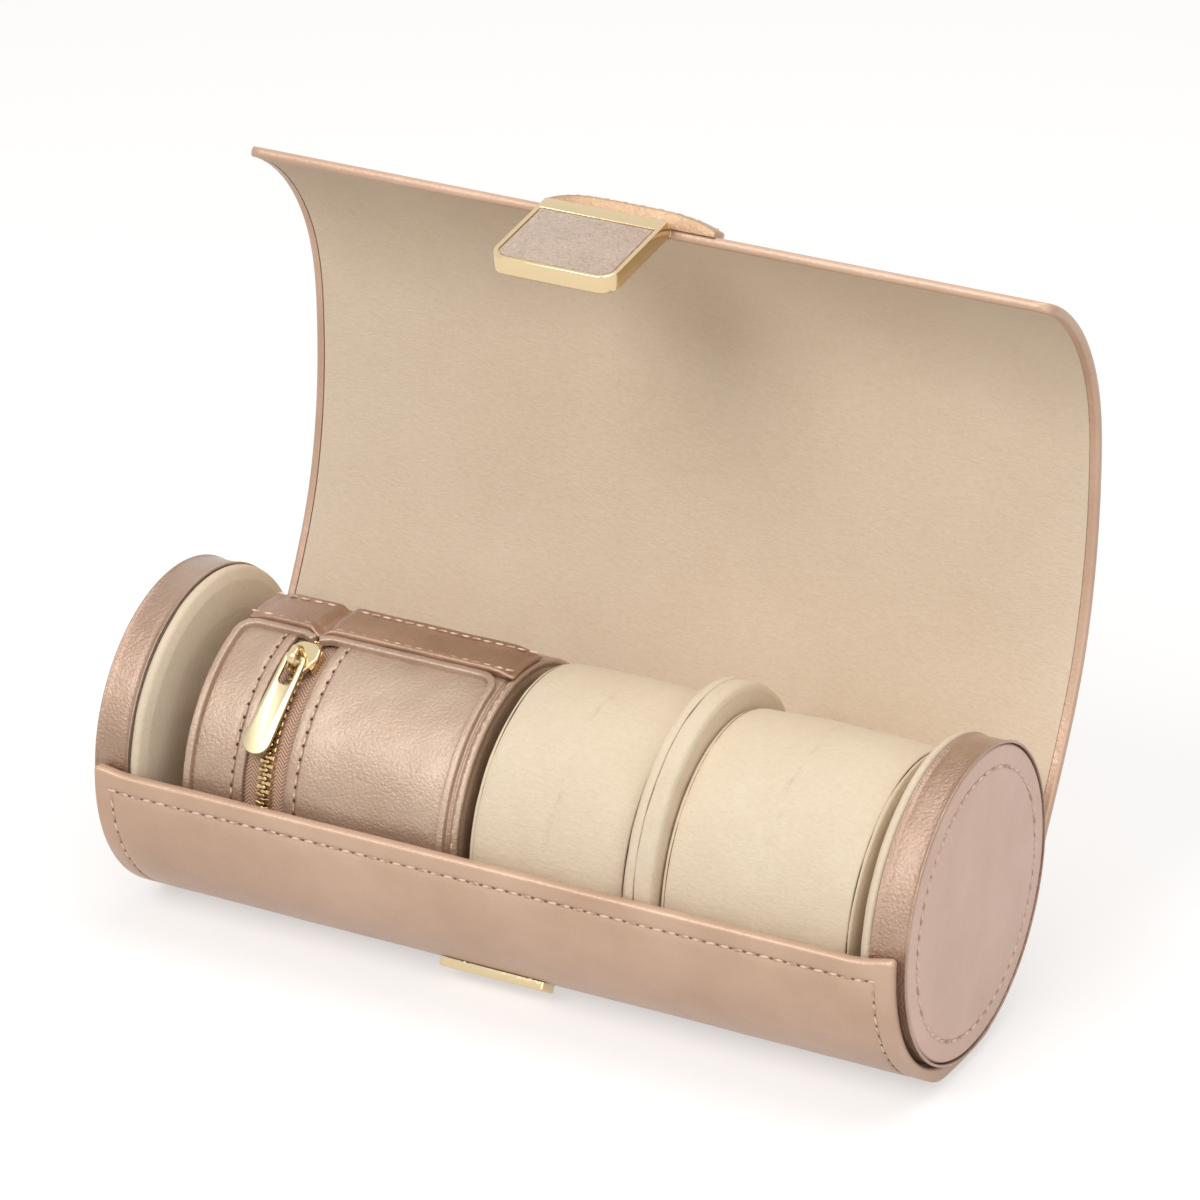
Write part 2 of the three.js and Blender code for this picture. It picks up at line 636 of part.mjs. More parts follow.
function buildSlider() {
  const half = SLIDER_LENGTH / 2;
  const top = sliderFoot + SLIDER_PLATE;
  const plate = alongX([
    onSlider(-half, sliderFoot),
    onSlider(half, sliderFoot),
    onSlider(half, top - SLIDER_PLATE / 3),
    onSlider(half - SLIDER_PLATE / 2, top),
    onSlider(-half + SLIDER_PLATE / 2, top),
    onSlider(-half, top - SLIDER_PLATE / 3),
  ], ZIP_CENTRE - SLIDER_WIDTH / 2, ZIP_CENTRE + SLIDER_WIDTH / 2);
  const high = BAIL_OFFSET - BAIL_LENGTH / 2;
  const low = BAIL_OFFSET + BAIL_LENGTH / 2;
  const crest = top + BAIL_HEIGHT;
  const bail = alongX([
    onSlider(high, top - SLIDER_PLATE / 2),
    onSlider(low, top - SLIDER_PLATE / 2),
    onSlider(low, crest - BAIL_WALL),
    onSlider(low - BAIL_WALL, crest),
    onSlider(high + BAIL_WALL, crest),
    onSlider(high, crest - BAIL_WALL),
  ], ZIP_CENTRE - BAIL_THICKNESS / 2, ZIP_CENTRE + BAIL_THICKNESS / 2);
  const eye = alongX([
    onSlider(high + BAIL_WALL, top),
    onSlider(low - BAIL_WALL, top),
    onSlider(low - BAIL_WALL, crest - BAIL_WALL),
    onSlider(high + BAIL_WALL, crest - BAIL_WALL),
  ], ZIP_CENTRE - BAIL_THICKNESS, ZIP_CENTRE + BAIL_THICKNESS);
  add("zip_slider", cut(join(plate, bail), eye), gold);
}

// The pull hangs by its top bar in the slider's eye and lies down the zip.
function buildPull() {
  const direction = heading(180 - SLIDER_ANGLE + 90 + PULL_LEAN);
  const outward = heading(180 - SLIDER_ANGLE + PULL_LEAN);
  const hinge = onSlider(BAIL_OFFSET, bailHole);
  const topHalf = PULL_TOP_WIDTH / 2;
  const endHalf = PULL_END_WIDTH / 2;
  const outline = new THREE.Shape();
  outline.moveTo(-topHalf, PULL_BAR / 2);
  outline.lineTo(topHalf, PULL_BAR / 2);
  outline.lineTo(endHalf, endHalf - PULL_LENGTH);
  outline.absarc(0, endHalf - PULL_LENGTH, endHalf, 0, -Math.PI, true);
  const slot = new THREE.Path();
  const slotHalf = PULL_SLOT_WIDTH / 2;
  slot.moveTo(-slotHalf, -PULL_BAR / 2);
  slot.lineTo(-slotHalf, -PULL_BAR / 2 - PULL_SLOT_LENGTH);
  slot.lineTo(slotHalf, -PULL_BAR / 2 - PULL_SLOT_LENGTH);
  slot.lineTo(slotHalf, -PULL_BAR / 2);
  outline.holes.push(slot);
  const geometry = new THREE.ExtrudeGeometry(outline, {
    depth: PULL_THICKNESS,
    bevelEnabled: false,
    curveSegments: SMALL_SEGMENTS,
  });
  geometry.translate(0, 0, -PULL_THICKNESS / 2);
  geometry.rotateZ(radians(PULL_TURN));
  const frame = new THREE.Matrix4().makeBasis(
    new THREE.Vector3(1, 0, 0),
    new THREE.Vector3(0, -direction.x, -direction.y),
    new THREE.Vector3(0, outward.x, outward.y),
  );
  frame.setPosition(ZIP_CENTRE, hinge.x, hinge.y);
  add("zip_pull", clean(geometry.applyMatrix4(frame)), gold);
}

// Clasp: drawn in a frame at its hinge axis, first axis towards the free end, second outward.
const lastStrip = STRIP_DIRECTIONS.length - 1;
const flapEndTangent = STRIP_DIRECTIONS[lastStrip] + STRIP_BENDS[lastStrip] / 2;
const flapOut = heading(flapEndTangent - 90);
const flapAlong = heading(flapEndTangent);
const flapMiddleEnd = stripStarts[lastStrip + 1].clone().addScaledVector(flapOut, FLAP_THICKNESS / 2);
const claspHinge = flapMiddleEnd.clone().addScaledVector(flapAlong, KNUCKLE_RADIUS + CLEARANCE);
const claspAlong = heading(CLASP_DIRECTION);
const claspOut = heading(CLASP_DIRECTION - 90);

function onClasp(along, out) {
  return claspHinge.clone().addScaledVector(claspAlong, along).addScaledVector(claspOut, out);
}

// A point on the flap's own end: along it from the clasp's hinge, and outward.
function onFlapEnd(along, out) {
  return claspHinge.clone().addScaledVector(flapAlong, along).addScaledVector(flapOut, out);
}

// A plan outline drawn in the clasp's plane, from its low to its high face.
function claspPlan(shape, low, high) {
  const geometry = new THREE.ExtrudeGeometry(shape, {
    depth: high - low,
    bevelEnabled: false,
    curveSegments: SMALL_SEGMENTS / 4,
  });
  geometry.translate(0, 0, low);
  const frame = new THREE.Matrix4().makeBasis(
    new THREE.Vector3(-1, 0, 0),
    new THREE.Vector3(0, claspAlong.x, claspAlong.y),
    new THREE.Vector3(0, claspOut.x, claspOut.y),
  );
  frame.setPosition(CLASP_CENTRE, claspHinge.x, claspHinge.y);
  return clean(geometry.applyMatrix4(frame));
}

// A rectangle with its two far corners rounded.
function claspOutline(halfWidth, from, to, corner) {
  const shape = new THREE.Shape();
  shape.moveTo(-halfWidth, from);
  shape.lineTo(halfWidth, from);
  shape.lineTo(halfWidth, to - corner);
  shape.absarc(halfWidth - corner, to - corner, corner, 0, Math.PI / 2, false);
  shape.lineTo(corner - halfWidth, to);
  shape.absarc(corner - halfWidth, to - corner, corner, Math.PI / 2, Math.PI, false);
  return shape;
}

function circle(centre, radius) {
  const points = [];
  for (let i = 0; i < SMALL_SEGMENTS; i += 1) {
    points.push(centre.clone().addScaledVector(heading((360 * i) / SMALL_SEGMENTS), radius));
  }
  return points;
}

function buildClasp() {
  const half = CLASP_WIDTH / 2;
  const back = CLASP_START;
  const front = back + CLASP_LENGTH;
  const inner = half - CLASP_WALL;
  const block = claspPlan(claspOutline(half, back, front, CLASP_CORNER), -CLASP_SKIRT, CLASP_TOP);
  const hollow = claspPlan(
    claspOutline(inner, back - OVERRUN, front - CLASP_WALL, CLASP_CORNER - CLASP_WALL),
    -CLASP_SKIRT - OVERRUN,
    CLASP_TOP - CLASP_PLATE,
  );
  const pocketHalf = half - INLAY_BORDER;
  const pocketEnd = front - INLAY_BORDER;
  const pocket = claspPlan(
    claspOutline(pocketHalf, back + CLASP_BAR, pocketEnd, CLASP_CORNER - INLAY_BORDER),
    CLASP_TOP - INLAY_DEPTH,
    CLASP_TOP + OVERRUN,
  );
  const [low, high] = [CLASP_CENTRE - half, CLASP_CENTRE + half];
  const bore = alongX(circle(claspHinge, HINGE_BORE), low - OVERRUN, high + OVERRUN);
  const leftEar = alongX(circle(claspHinge, KNUCKLE_RADIUS), low, low + CLASP_WALL);
  const rightEar = alongX(circle(claspHinge, KNUCKLE_RADIUS), high - CLASP_WALL, high);
  add("clasp_frame", cut(join(cut(block, hollow, pocket), leftEar, rightEar), bore), gold);

  const seat = CLEARANCE / 2;
  add("clasp_inlay", claspPlan(
    claspOutline(
      pocketHalf - seat,
      back + CLASP_BAR + seat,
      pocketEnd - seat,
      CLASP_CORNER - INLAY_BORDER - seat,
    ),
    CLASP_TOP - INLAY_DEPTH + seat,
    CLASP_TOP + seat,
  ), leather);
  const magnetTop = CLASP_TOP - CLASP_PLATE - CLEARANCE;
  add("clasp_magnet", alongX([
    onClasp(MAGNET_START, magnetTop),
    onClasp(MAGNET_START, magnetTop - MAGNET_THICKNESS),
    onClasp(MAGNET_START + MAGNET_LENGTH, magnetTop - MAGNET_THICKNESS),
    onClasp(MAGNET_START + MAGNET_LENGTH, magnetTop),
  ], CLASP_CENTRE - MAGNET_WIDTH / 2, CLASP_CENTRE + MAGNET_WIDTH / 2), steel);
  add("clasp_pin", alongX(circle(claspHinge, PIN_RADIUS), low + CLEARANCE, high - CLEARANCE), steel);

  const plateLow = FLAP_THICKNESS / 2 + CLEARANCE;
  const plateHigh = plateLow + BRACKET_THICKNESS;
  const knuckle = alongX(
    circle(claspHinge, KNUCKLE_RADIUS),
    CLASP_CENTRE - KNUCKLE_WIDTH / 2,
    CLASP_CENTRE + KNUCKLE_WIDTH / 2,
  );
  const neck = alongX([
    onFlapEnd(-KNUCKLE_RADIUS - CLEARANCE, plateHigh),
    onFlapEnd(-KNUCKLE_RADIUS - CLEARANCE, plateLow),
    onFlapEnd(-KNUCKLE_RADIUS / 2, 0),
    onFlapEnd(0, KNUCKLE_RADIUS),
  ], CLASP_CENTRE - KNUCKLE_WIDTH / 2, CLASP_CENTRE + KNUCKLE_WIDTH / 2);
  const plate = alongX([
    onFlapEnd(-KNUCKLE_RADIUS, plateHigh),
    onFlapEnd(-BRACKET_LENGTH, plateHigh),
    onFlapEnd(-BRACKET_LENGTH, plateLow),
    onFlapEnd(-KNUCKLE_RADIUS, plateLow),
  ], CLASP_CENTRE - BRACKET_WIDTH / 2, CLASP_CENTRE + BRACKET_WIDTH / 2);
  add("clasp_bracket", cut(join(plate, neck, knuckle), bore), gold);
}

// Half-oval leather tab over the bracket's plate on the flap's outer side.
function buildTab() {
  const shape = new THREE.Shape();
  const start = KNUCKLE_RADIUS + CLEARANCE + TAB_SETBACK;
  shape.moveTo(TAB_HALF_WIDTH, start);
  shape.absellipse(0, start, TAB_HALF_WIDTH, TAB_LENGTH, 0, Math.PI, false, 0);
  const low = FLAP_THICKNESS / 2 + CLEARANCE;
  const geometry = new THREE.ExtrudeGeometry(shape, {
    depth: TAB_THICKNESS + BRACKET_THICKNESS,
    bevelEnabled: false,
    curveSegments: SMALL_SEGMENTS,
  });
  geometry.translate(0, 0, low);
  const frame = new THREE.Matrix4().makeBasis(
    new THREE.Vector3(1, 0, 0),
    new THREE.Vector3(0, -flapAlong.x, -flapAlong.y),
    new THREE.Vector3(0, flapOut.x, flapOut.y),
  );
  frame.setPosition(TAB_CENTRE, claspHinge.x, claspHinge.y);
  const body = clean(geometry.applyMatrix4(frame));
  const pocket = alongX([
    onFlapEnd(OVERRUN - start, low + BRACKET_THICKNESS + CLEARANCE),
    onFlapEnd(-BRACKET_LENGTH - CLEARANCE, low + BRACKET_THICKNESS + CLEARANCE),
    onFlapEnd(-BRACKET_LENGTH - CLEARANCE, low - OVERRUN),
    onFlapEnd(OVERRUN - start, low - OVERRUN),
  ], CLASP_CENTRE - BRACKET_WIDTH / 2 - CLEARANCE, CLASP_CENTRE + BRACKET_WIDTH / 2 + CLEARANCE);
  add("clasp_tab", cut(body, pocket), leather);
}

function buildCatch() {
  const low = SHELL_RADIUS + CLEARANCE;
  const high = low + CATCH_THICKNESS;
  const plate = new THREE.BoxGeometry(CATCH_WIDTH, CATCH_THICKNESS, CATCH_LENGTH);
  plate.translate(0, (low + high) / 2, 0);
  const blind = low + RIVET_DEPTH;
  const holes = [-1, 1].map((side) =>
    rivetCylinder(RIVET_RADIUS + CLEARANCE, low - OVERRUN, blind, side * RIVET_SPACING / 2));
  add("catch_plate", cut(placeAtCatch(plate, 0), ...holes), gold);
  const headLow = BOARD_RADIUS - BOARD_THICKNESS;
  [["left", -1], ["right", 1]].forEach(([name, side]) => {
    const offset = side * RIVET_SPACING / 2;
    const head = rivetCylinder(RIVET_HEAD, headLow, headLow + RIVET_HEAD_THICKNESS, offset);
    const shank = rivetCylinder(RIVET_RADIUS, headLow, blind - CLEARANCE, offset);
    add(`catch_${name}_rivet`, join(head, shank), steel);
  });
}

buildWrap();
buildFlap();
buildEnd(-1, "left");
buildEnd(1, "right");
buildCushion(CUSHION_ONE_LEFT, CUSHION_ONE_RIGHT, "cushion_one");
buildCushion(CUSHION_TWO_LEFT, CUSHION_TWO_RIGHT, "cushion_two");
buildDivider();
buildPouchCup(zipLeft, POUCH_LEFT, "lid");
buildPouchCup(zipRight, POUCH_RIGHT, "base");
buildZipHalf(-1, "left");
buildZipHalf(1, "right");
buildSpine();
buildSlider();
buildPull();
buildClasp();
buildTab();
buildCatch();

export default roll;
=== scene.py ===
"""Looks of an open travel roll for watches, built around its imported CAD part.

Lengths are in millimetres unless a docstring says otherwise, and turned to metres where a mesh
is made. Flat patterns are drawn as (across, along, height) and then laid on the surface that
carries them.
"""

from __future__ import annotations

import json
import logging
import math
from contextlib import contextmanager
from dataclasses import dataclass, field, replace
from enum import Enum
from typing import Callable, Iterator, Sequence

import bmesh
import bpy
import numpy as np
from mathutils import Matrix, Vector

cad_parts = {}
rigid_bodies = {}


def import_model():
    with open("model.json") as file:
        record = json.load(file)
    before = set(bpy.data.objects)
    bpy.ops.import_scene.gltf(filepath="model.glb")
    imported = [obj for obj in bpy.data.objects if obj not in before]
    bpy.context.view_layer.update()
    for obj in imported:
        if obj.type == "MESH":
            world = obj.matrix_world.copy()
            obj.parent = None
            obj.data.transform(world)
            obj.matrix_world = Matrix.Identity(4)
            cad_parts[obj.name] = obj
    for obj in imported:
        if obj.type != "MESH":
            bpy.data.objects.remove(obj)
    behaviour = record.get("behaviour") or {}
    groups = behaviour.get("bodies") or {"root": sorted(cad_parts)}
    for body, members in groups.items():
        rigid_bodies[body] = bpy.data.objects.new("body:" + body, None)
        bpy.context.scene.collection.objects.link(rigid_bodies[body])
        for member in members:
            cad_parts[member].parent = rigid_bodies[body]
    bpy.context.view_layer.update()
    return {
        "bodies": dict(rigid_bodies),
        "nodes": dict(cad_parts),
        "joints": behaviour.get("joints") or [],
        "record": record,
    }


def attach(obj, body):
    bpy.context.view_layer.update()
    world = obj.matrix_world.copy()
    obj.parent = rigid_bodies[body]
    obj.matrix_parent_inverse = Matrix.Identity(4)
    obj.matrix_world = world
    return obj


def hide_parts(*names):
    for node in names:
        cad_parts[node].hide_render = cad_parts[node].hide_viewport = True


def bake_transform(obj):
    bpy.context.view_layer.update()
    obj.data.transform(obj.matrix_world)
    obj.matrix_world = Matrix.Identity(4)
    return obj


MM = 0.001
AXIS_HEIGHT = 39.85  # axis of the roll above the table
POUCH_HEIGHT = 36.95  # axis of the zipped pouch
CUSHION_HEIGHT = 37.15  # axis of the two cushions
HALF_LENGTH = 101.5  # from the roll's middle to an end of its leather
RIM_BORDER = 2.2  # leather folded over an edge
WRAP_INNER, WRAP_OUTER = -1.35, 1.65  # the wrap's faces, from its pattern's own radius
STITCH_PITCH = 3.3
LINING_GAP = 0.12  # between a lining and the leather rim round it
WELD = 0.001 * MM  # distance at which vertices of a cut are one
ROUNDED = 60  # degrees up to which small rounded pieces are shaded smooth

log = logging.getLogger("watch_roll")

Pair = tuple[float, float]
Piece = bpy.types.Object
Tree = bpy.types.NodeTree
Output = bpy.types.Node | bpy.types.NodeSocket


class Slot(Enum):
    """Material slots of the CAD record."""

    LEATHER = "metallic_leather"
    LINING = "lining_suede"
    CREAM = "cream_suede"
    FOAM = "foam"
    BOARD = "board"
    TAPE = "zip_tape"
    GOLD = "gold_metal"
    STEEL = "steel"


class Run(Enum):
    """Direction in which a row of stitches runs over its surface."""

    ACROSS = 0
    ALONG = 1


def linear(code: str) -> tuple[float, float, float, float]:
    """Turns an sRGB hex colour to the linear values that shader sockets take.

    Args:
        code: colour written as #RRGGBB.

    Returns:
        Red, green, blue and an opaque alpha.
    """
    channels = [int(code[i : i + 2], 16) / 255 for i in (1, 3, 5)]
    bright = [c / 12.92 if c <= 0.04045 else ((c + 0.055) / 1.055) ** 2.4 for c in channels]
    return (bright[0], bright[1], bright[2], 1.0)


def add_node(
    tree: Tree, kind: str, settings: dict[str | int, object] | None = None,
    links: dict[str | int, Output] | None = None,
) -> bpy.types.Node:
    """Adds a node with its settings and its incoming links.

    Args:
        tree: node tree that takes the node.
        kind: node type name, without ShaderNode before it.
        settings: properties and socket values; "stops" holds a ramp's (place, hex) pairs.
        links: sources by the name or number of the input that they feed; a node stands for
            its first output.

    Returns:
        The new node.
    """
    made = tree.nodes.new(f"ShaderNode{kind}")
    for key, value in (settings or {}).items():
        if key == "stops":
            ramp = made.color_ramp.elements
            while len(ramp) < len(value):
                ramp.new(1.0)
            for element, (place, code) in zip(ramp, value):
                element.position = place
                element.color = linear(code)
        elif isinstance(key, int) or key in made.inputs:
            made.inputs[key].default_value = value
        else:
            setattr(made, key, value)
    for key, source in (links or {}).items():
        socket = source.outputs[0] if isinstance(source, bpy.types.Node) else source
        tree.links.new(socket, made.inputs[key])
    return made


def per_metre(size: float) -> float:
    """Texture scale that gives a feature of that size in millimetres."""
    return 1 / (size * MM)


def direct_rays(tree: Tree) -> Output:
    """Tells rays from the camera, in reflections and through surfaces from plain light.

    Args:
        tree: node tree of a material or of the world.

    Returns:
        Output that is 1 for such a ray and 0 for any other.
    """
    path = add_node(tree, "LightPath")
    seen = add_node(
        tree, "Math", {"operation": "MAXIMUM"},
        {0: path.outputs["Is Camera Ray"], 1: path.outputs["Is Glossy Ray"]},
    )
    return add_node(
        tree, "Math", {"operation": "MAXIMUM"}, {0: seen, 1: path.outputs["Is Transmission Ray"]}
    )


class Finish:
    """A surface finish; each one builds its material once."""

    name: str

    def material(self) -> bpy.types.Material:
        """The material of this finish, built when it is first asked for.

        Returns:
            The material.
        """
        found = bpy.data.materials.get(self.name)
        if found is not None:
            return found
        made = bpy.data.materials.new(self.name)
        made.use_nodes = True
        made.node_tree.nodes.clear()
        shader = self.shade(made.node_tree)
        add_node(made.node_tree, "OutputMaterial", links={"Surface": shader})
        return made

    def shade(self, tree: Tree) -> Output:
        """Adds this finish's nodes.

        Args:
            tree: empty node tree of the material.

        Returns:
            The surface shader.
        """
        raise NotImplementedError


@dataclass(frozen=True)
class FoilLeather(Finish):
    """Pigment-foiled calf leather: a pearly film pressed into a fine grain.

    The eye gets soft satin highlights that break up on the pebbled grain, a slightly deeper tone
    in the hollows, and slow cloudy changes of tone where the film is thicker.
    """

    name: str
    shade_tone: str = "#C29F86"
    body_tone: str = "#CAA88F"
    light_tone: str = "#D2B198"
    metallic: float = 0.28
    roughness: float = 0.40
    film: float = 0.2  # share of the clear top film
    grain: float = 1.1  # pebble size, mm
    grain_depth: float = 0.06
    crinkle: float = 5.0  # distance between soft wrinkles, mm
    crinkle_depth: float = 0.10

    def shade(self, tree: Tree) -> Output:
        """Adds the leather's nodes.

        Args:
            tree: empty node tree of the material.

        Returns:
            The surface shader.
        """
        place = add_node(tree, "TexCoord").outputs["Object"]
        cloud = add_node(
            tree, "TexNoise", {"Scale": per_metre(26), "Detail": 3.0, "Roughness": 0.55},
            {"Vector": place},
        )
        pebble = add_node(
            tree, "TexVoronoi",
            {"feature": "SMOOTH_F1", "Scale": per_metre(self.grain), "Smoothness": 0.6},
            {"Vector": place},
        )
        pores = add_node(
            tree, "TexNoise",
            {"Scale": per_metre(self.grain * 0.45), "Detail": 4.0, "Roughness": 0.6},
            {"Vector": place},
        )
        folds = add_node(
            tree, "TexNoise",
            {
                "Scale": per_metre(self.crinkle), "Detail": 5.0, "Roughness": 0.62,
                "Distortion": 0.6,
            },
            {"Vector": place},
        )
        tone = add_node(tree, "Math", {"operation": "MULTIPLY_ADD", 1: 0.22, 2: 0.0}, {0: pores})
        mixed = add_node(tree, "Math", {"operation": "MULTIPLY_ADD", 1: 0.78}, {0: cloud, 2: tone})
        colour = add_node(
            tree, "ValToRGB",
            {"stops": [(0.34, self.shade_tone), (0.5, self.body_tone), (0.66, self.light_tone)]},
            {"Fac": mixed},
        )
        rough = add_node(
            tree, "MapRange", {1: 0.3, 2: 0.7, 3: self.roughness + 0.07, 4: self.roughness - 0.05},
            {0: pores},
        )
        creased = add_node(
            tree, "Bump", {"Strength": 1.0, "Distance": self.crinkle_depth * MM}, {"Height": folds}
        )
        pebbled = add_node(
            tree, "Bump", {"Strength": 1.0, "Distance": self.grain_depth * MM, "invert": True},
            {"Height": pebble, "Normal": creased},
        )
        pored = add_node(
            tree, "Bump", {"Strength": 1.0, "Distance": self.grain_depth * 0.9 * MM},
            {"Height": pores, "Normal": pebbled},
        )
        return add_node(
            tree, "BsdfPrincipled",
            {
                "Metallic": self.metallic, "IOR": 1.5, "Coat Weight": self.film,
                "Coat Roughness": 0.36,
            },
            {"Base Color": colour, "Roughness": rough, "Normal": pored},
        )


@dataclass(frozen=True)
class Microsuede(Finish):
    """Brushed microfibre suede: a dense short nap that lies one way and then another.

    The eye gets a matte velvety field with a pale bloom at its edges, brushed patches a shade
    apart and a fine fibrous speckle.
    """

    name: str
    shade_tone: str = "#DEC8AE"
    body_tone: str = "#E5D1B8"
    light_tone: str = "#EAD8C1"
    patch: float = 30.0  # size of brushed patches, mm
    nap: float = 0.75  # fibre tufts, drawn coarser than the real 0.1 mm so that they show
    nap_depth: float = 0.24
    sheen: float = 0.35

    def shade(self, tree: Tree) -> Output:
        """Adds the suede's nodes.

        Args:
            tree: empty node tree of the material.

        Returns:
            The surface shader.
        """
        place = add_node(tree, "TexCoord").outputs["Object"]
        brushed = add_node(
            tree, "TexNoise",
            {"Scale": per_metre(self.patch), "Detail": 4.0, "Roughness": 0.6, "Distortion": 0.4},
            {"Vector": place},
        )
        stretched = add_node(tree, "Mapping", {"Scale": (1.0, 2.1, 2.1)}, {"Vector": place})
        fibres = add_node(
            tree, "TexNoise", {"Scale": per_metre(self.nap * 2), "Detail": 6.0, "Roughness": 0.75},
            {"Vector": stretched},
        )
        part = add_node(tree, "Math", {"operation": "MULTIPLY", 1: 0.66}, {0: fibres})
        mixed = add_node(
            tree, "Math", {"operation": "MULTIPLY_ADD", 1: 0.34}, {0: brushed, 2: part}
        )
        colour = add_node(
            tree, "ValToRGB",
            {"stops": [(0.32, self.shade_tone), (0.5, self.body_tone), (0.68, self.light_tone)]},
            {"Fac": mixed},
        )
        napped = add_node(
            tree, "Bump", {"Strength": 1.0, "Distance": self.nap_depth * MM}, {"Height": fibres}
        )
        return add_node(
            tree, "BsdfPrincipled",
            {
                "Roughness": 0.95, "Specular IOR Level": 0.15, "Sheen Weight": self.sheen,
                "Sheen Roughness": 0.45, "Sheen Tint": linear("#FFF3E2"),
            },
            {"Base Color": colour, "Normal": napped},
        )


@dataclass(frozen=True)
class SewingThread(Finish):
    """Bonded, slightly waxed polyester thread; its twist shows as fine bands with painted shade in
    the grooves.
    """

    name: str
    tone: str = "#E9D0BA"
    # painted shade in the grooves of the twist
    dark_tone: str = "#C19F87"
    strand: float = 0.35  # width of a strand across the thread, mm

    def shade(self, tree: Tree) -> Output:
        """Adds the thread's nodes.

        Args:
            tree: empty node tree of the material.

        Returns:
            The surface shader.
        """
        place = add_node(tree, "TexCoord").outputs["Object"]
        twist = add_node(
            tree, "TexWave",
            {
                "wave_type": "BANDS", "bands_direction": "DIAGONAL",
                "Scale": per_metre(self.strand) / 20, "Distortion": 1.5,
            },
            {"Vector": place},
        )
        # Colour darkens where the twist's bump is low: painted shade in its grooves.
        colour = add_node(
            tree, "ValToRGB", {"stops": [(0.1, self.dark_tone), (0.6, self.tone)]},
            {"Fac": twist.outputs["Fac"]},
        )
        ridges = add_node(
            tree, "Bump", {"Strength": 1.0, "Distance": 0.06 * MM},
            {"Height": twist.outputs["Fac"]},
        )
        return add_node(
            tree, "BsdfPrincipled", {"Roughness": 0.55, "IOR": 1.5, "Sheen Weight": 0.15},
            {"Base Color": colour, "Normal": ridges},
        )


@dataclass(frozen=True)
class WovenTape(Finish):
    """Polyester zip tape woven in a herringbone; its ribs meet in a row of chevrons, with painted
    shade between.
    """

    name: str
    tone: str = "#CFA98F"
    # painted shade in the valleys between ribs
    dark_tone: str = "#94705D"
    rib: float = 0.9  # distance between ribs, mm

    def shade(self, tree: Tree) -> Output:
        """Adds the tape's nodes, which read the piece's own UV map.

        Args:
            tree: empty node tree of the material.

        Returns:
            The surface shader.
        """
        pattern = add_node(tree, "UVMap", {"uv_map": "weave"})
        split = add_node(tree, "SeparateXYZ", links={0: pattern.outputs["UV"]})
        fold = add_node(tree, "Math", {"operation": "PINGPONG", 1: 1.6}, {0: split.outputs["Y"]})
        lean = add_node(tree, "Math", {"operation": "ADD"}, {0: split, 1: fold})
        turns = add_node(
            tree, "Math", {"operation": "MULTIPLY", 1: math.tau / self.rib}, {0: lean}
        )
        ribs = add_node(tree, "Math", {"operation": "SINE"}, {0: turns})
        height = add_node(tree, "MapRange", {1: -1.0, 2: 1.0, 3: 0.0, 4: 1.0}, {0: ribs})
        # Colour darkens where the ribs are low: painted shade in their valleys.
        colour = add_node(
            tree, "ValToRGB", {"stops": [(0.1, self.dark_tone), (0.75, self.tone)]},
            {"Fac": height},
        )
        raised = add_node(
            tree, "Bump", {"Strength": 1.0, "Distance": 0.12 * MM}, {"Height": height}
        )
        return add_node(
            tree, "BsdfPrincipled", {"Roughness": 0.7, "Sheen Weight": 0.2},
            {"Base Color": colour, "Normal": raised},
        )


@dataclass(frozen=True)
class PlatedMetal(Finish):
    """Zinc alloy, polished and plated; faint buffing marks stretch its reflections a little."""

    name: str
    tone: str = "#DFC9A0"
    roughness: float = 0.14
    spread: float = 0.05  # how far buffing changes the roughness
    buffing: float = 0.5  # distance between buffing marks, mm
    depth: float = 0.0035

    def shade(self, tree: Tree) -> Output:
        """Adds the metal's nodes.

        Args:
            tree: empty node tree of the material.

        Returns:
            The surface shader.
        """
        place = add_node(tree, "TexCoord").outputs["Object"]
        drawn = add_node(tree, "Mapping", {"Scale": (0.35, 1.0, 1.0)}, {"Vector": place})
        marks = add_node(
            tree, "TexNoise", {"Scale": per_metre(self.buffing), "Detail": 4.0, "Roughness": 0.6},
            {"Vector": drawn},
        )
        rough = add_node(
            tree, "MapRange",
            {
                1: 0.35, 2: 0.65, 3: self.roughness - self.spread / 2,
                4: self.roughness + self.spread,
            },
            {0: marks},
        )
        buffed = add_node(
            tree, "Bump", {"Strength": 1.0, "Distance": self.depth * MM}, {"Height": marks}
        )
        return add_node(
            tree, "BsdfPrincipled", {"Base Color": linear(self.tone), "Metallic": 1.0},
            {"Roughness": rough, "Normal": buffed},
        )


@dataclass(frozen=True)
class PressedFibre(Finish):
    """Pressed grey board or open foam, with a mottled matte face; also the painted shade of seams
    and holes.
    """

    name: str
    dark_tone: str = "#8D8171"
    tone: str = "#A89B88"
    fleck: float = 1.2  # size of flecks, mm
    depth: float = 0.08

    def shade(self, tree: Tree) -> Output:
        """Adds the fibre's nodes.

        Args:
            tree: empty node tree of the material.

        Returns:
            The surface shader.
        """
        place = add_node(tree, "TexCoord").outputs["Object"]
        flecks = add_node(
            tree, "TexNoise",
            {"Scale": per_metre(self.fleck), "Detail": 5.0, "Roughness": 0.7}, {"Vector": place},
        )
        colour = add_node(
            tree, "ValToRGB", {"stops": [(0.35, self.dark_tone), (0.62, self.tone)]},
            {"Fac": flecks},
        )
        rough = add_node(
            tree, "Bump", {"Strength": 1.0, "Distance": self.depth * MM}, {"Height": flecks}
        )
        return add_node(
            tree, "BsdfPrincipled", {"Roughness": 0.9, "Specular IOR Level": 0.2},
            {"Base Color": colour, "Normal": rough},
        )


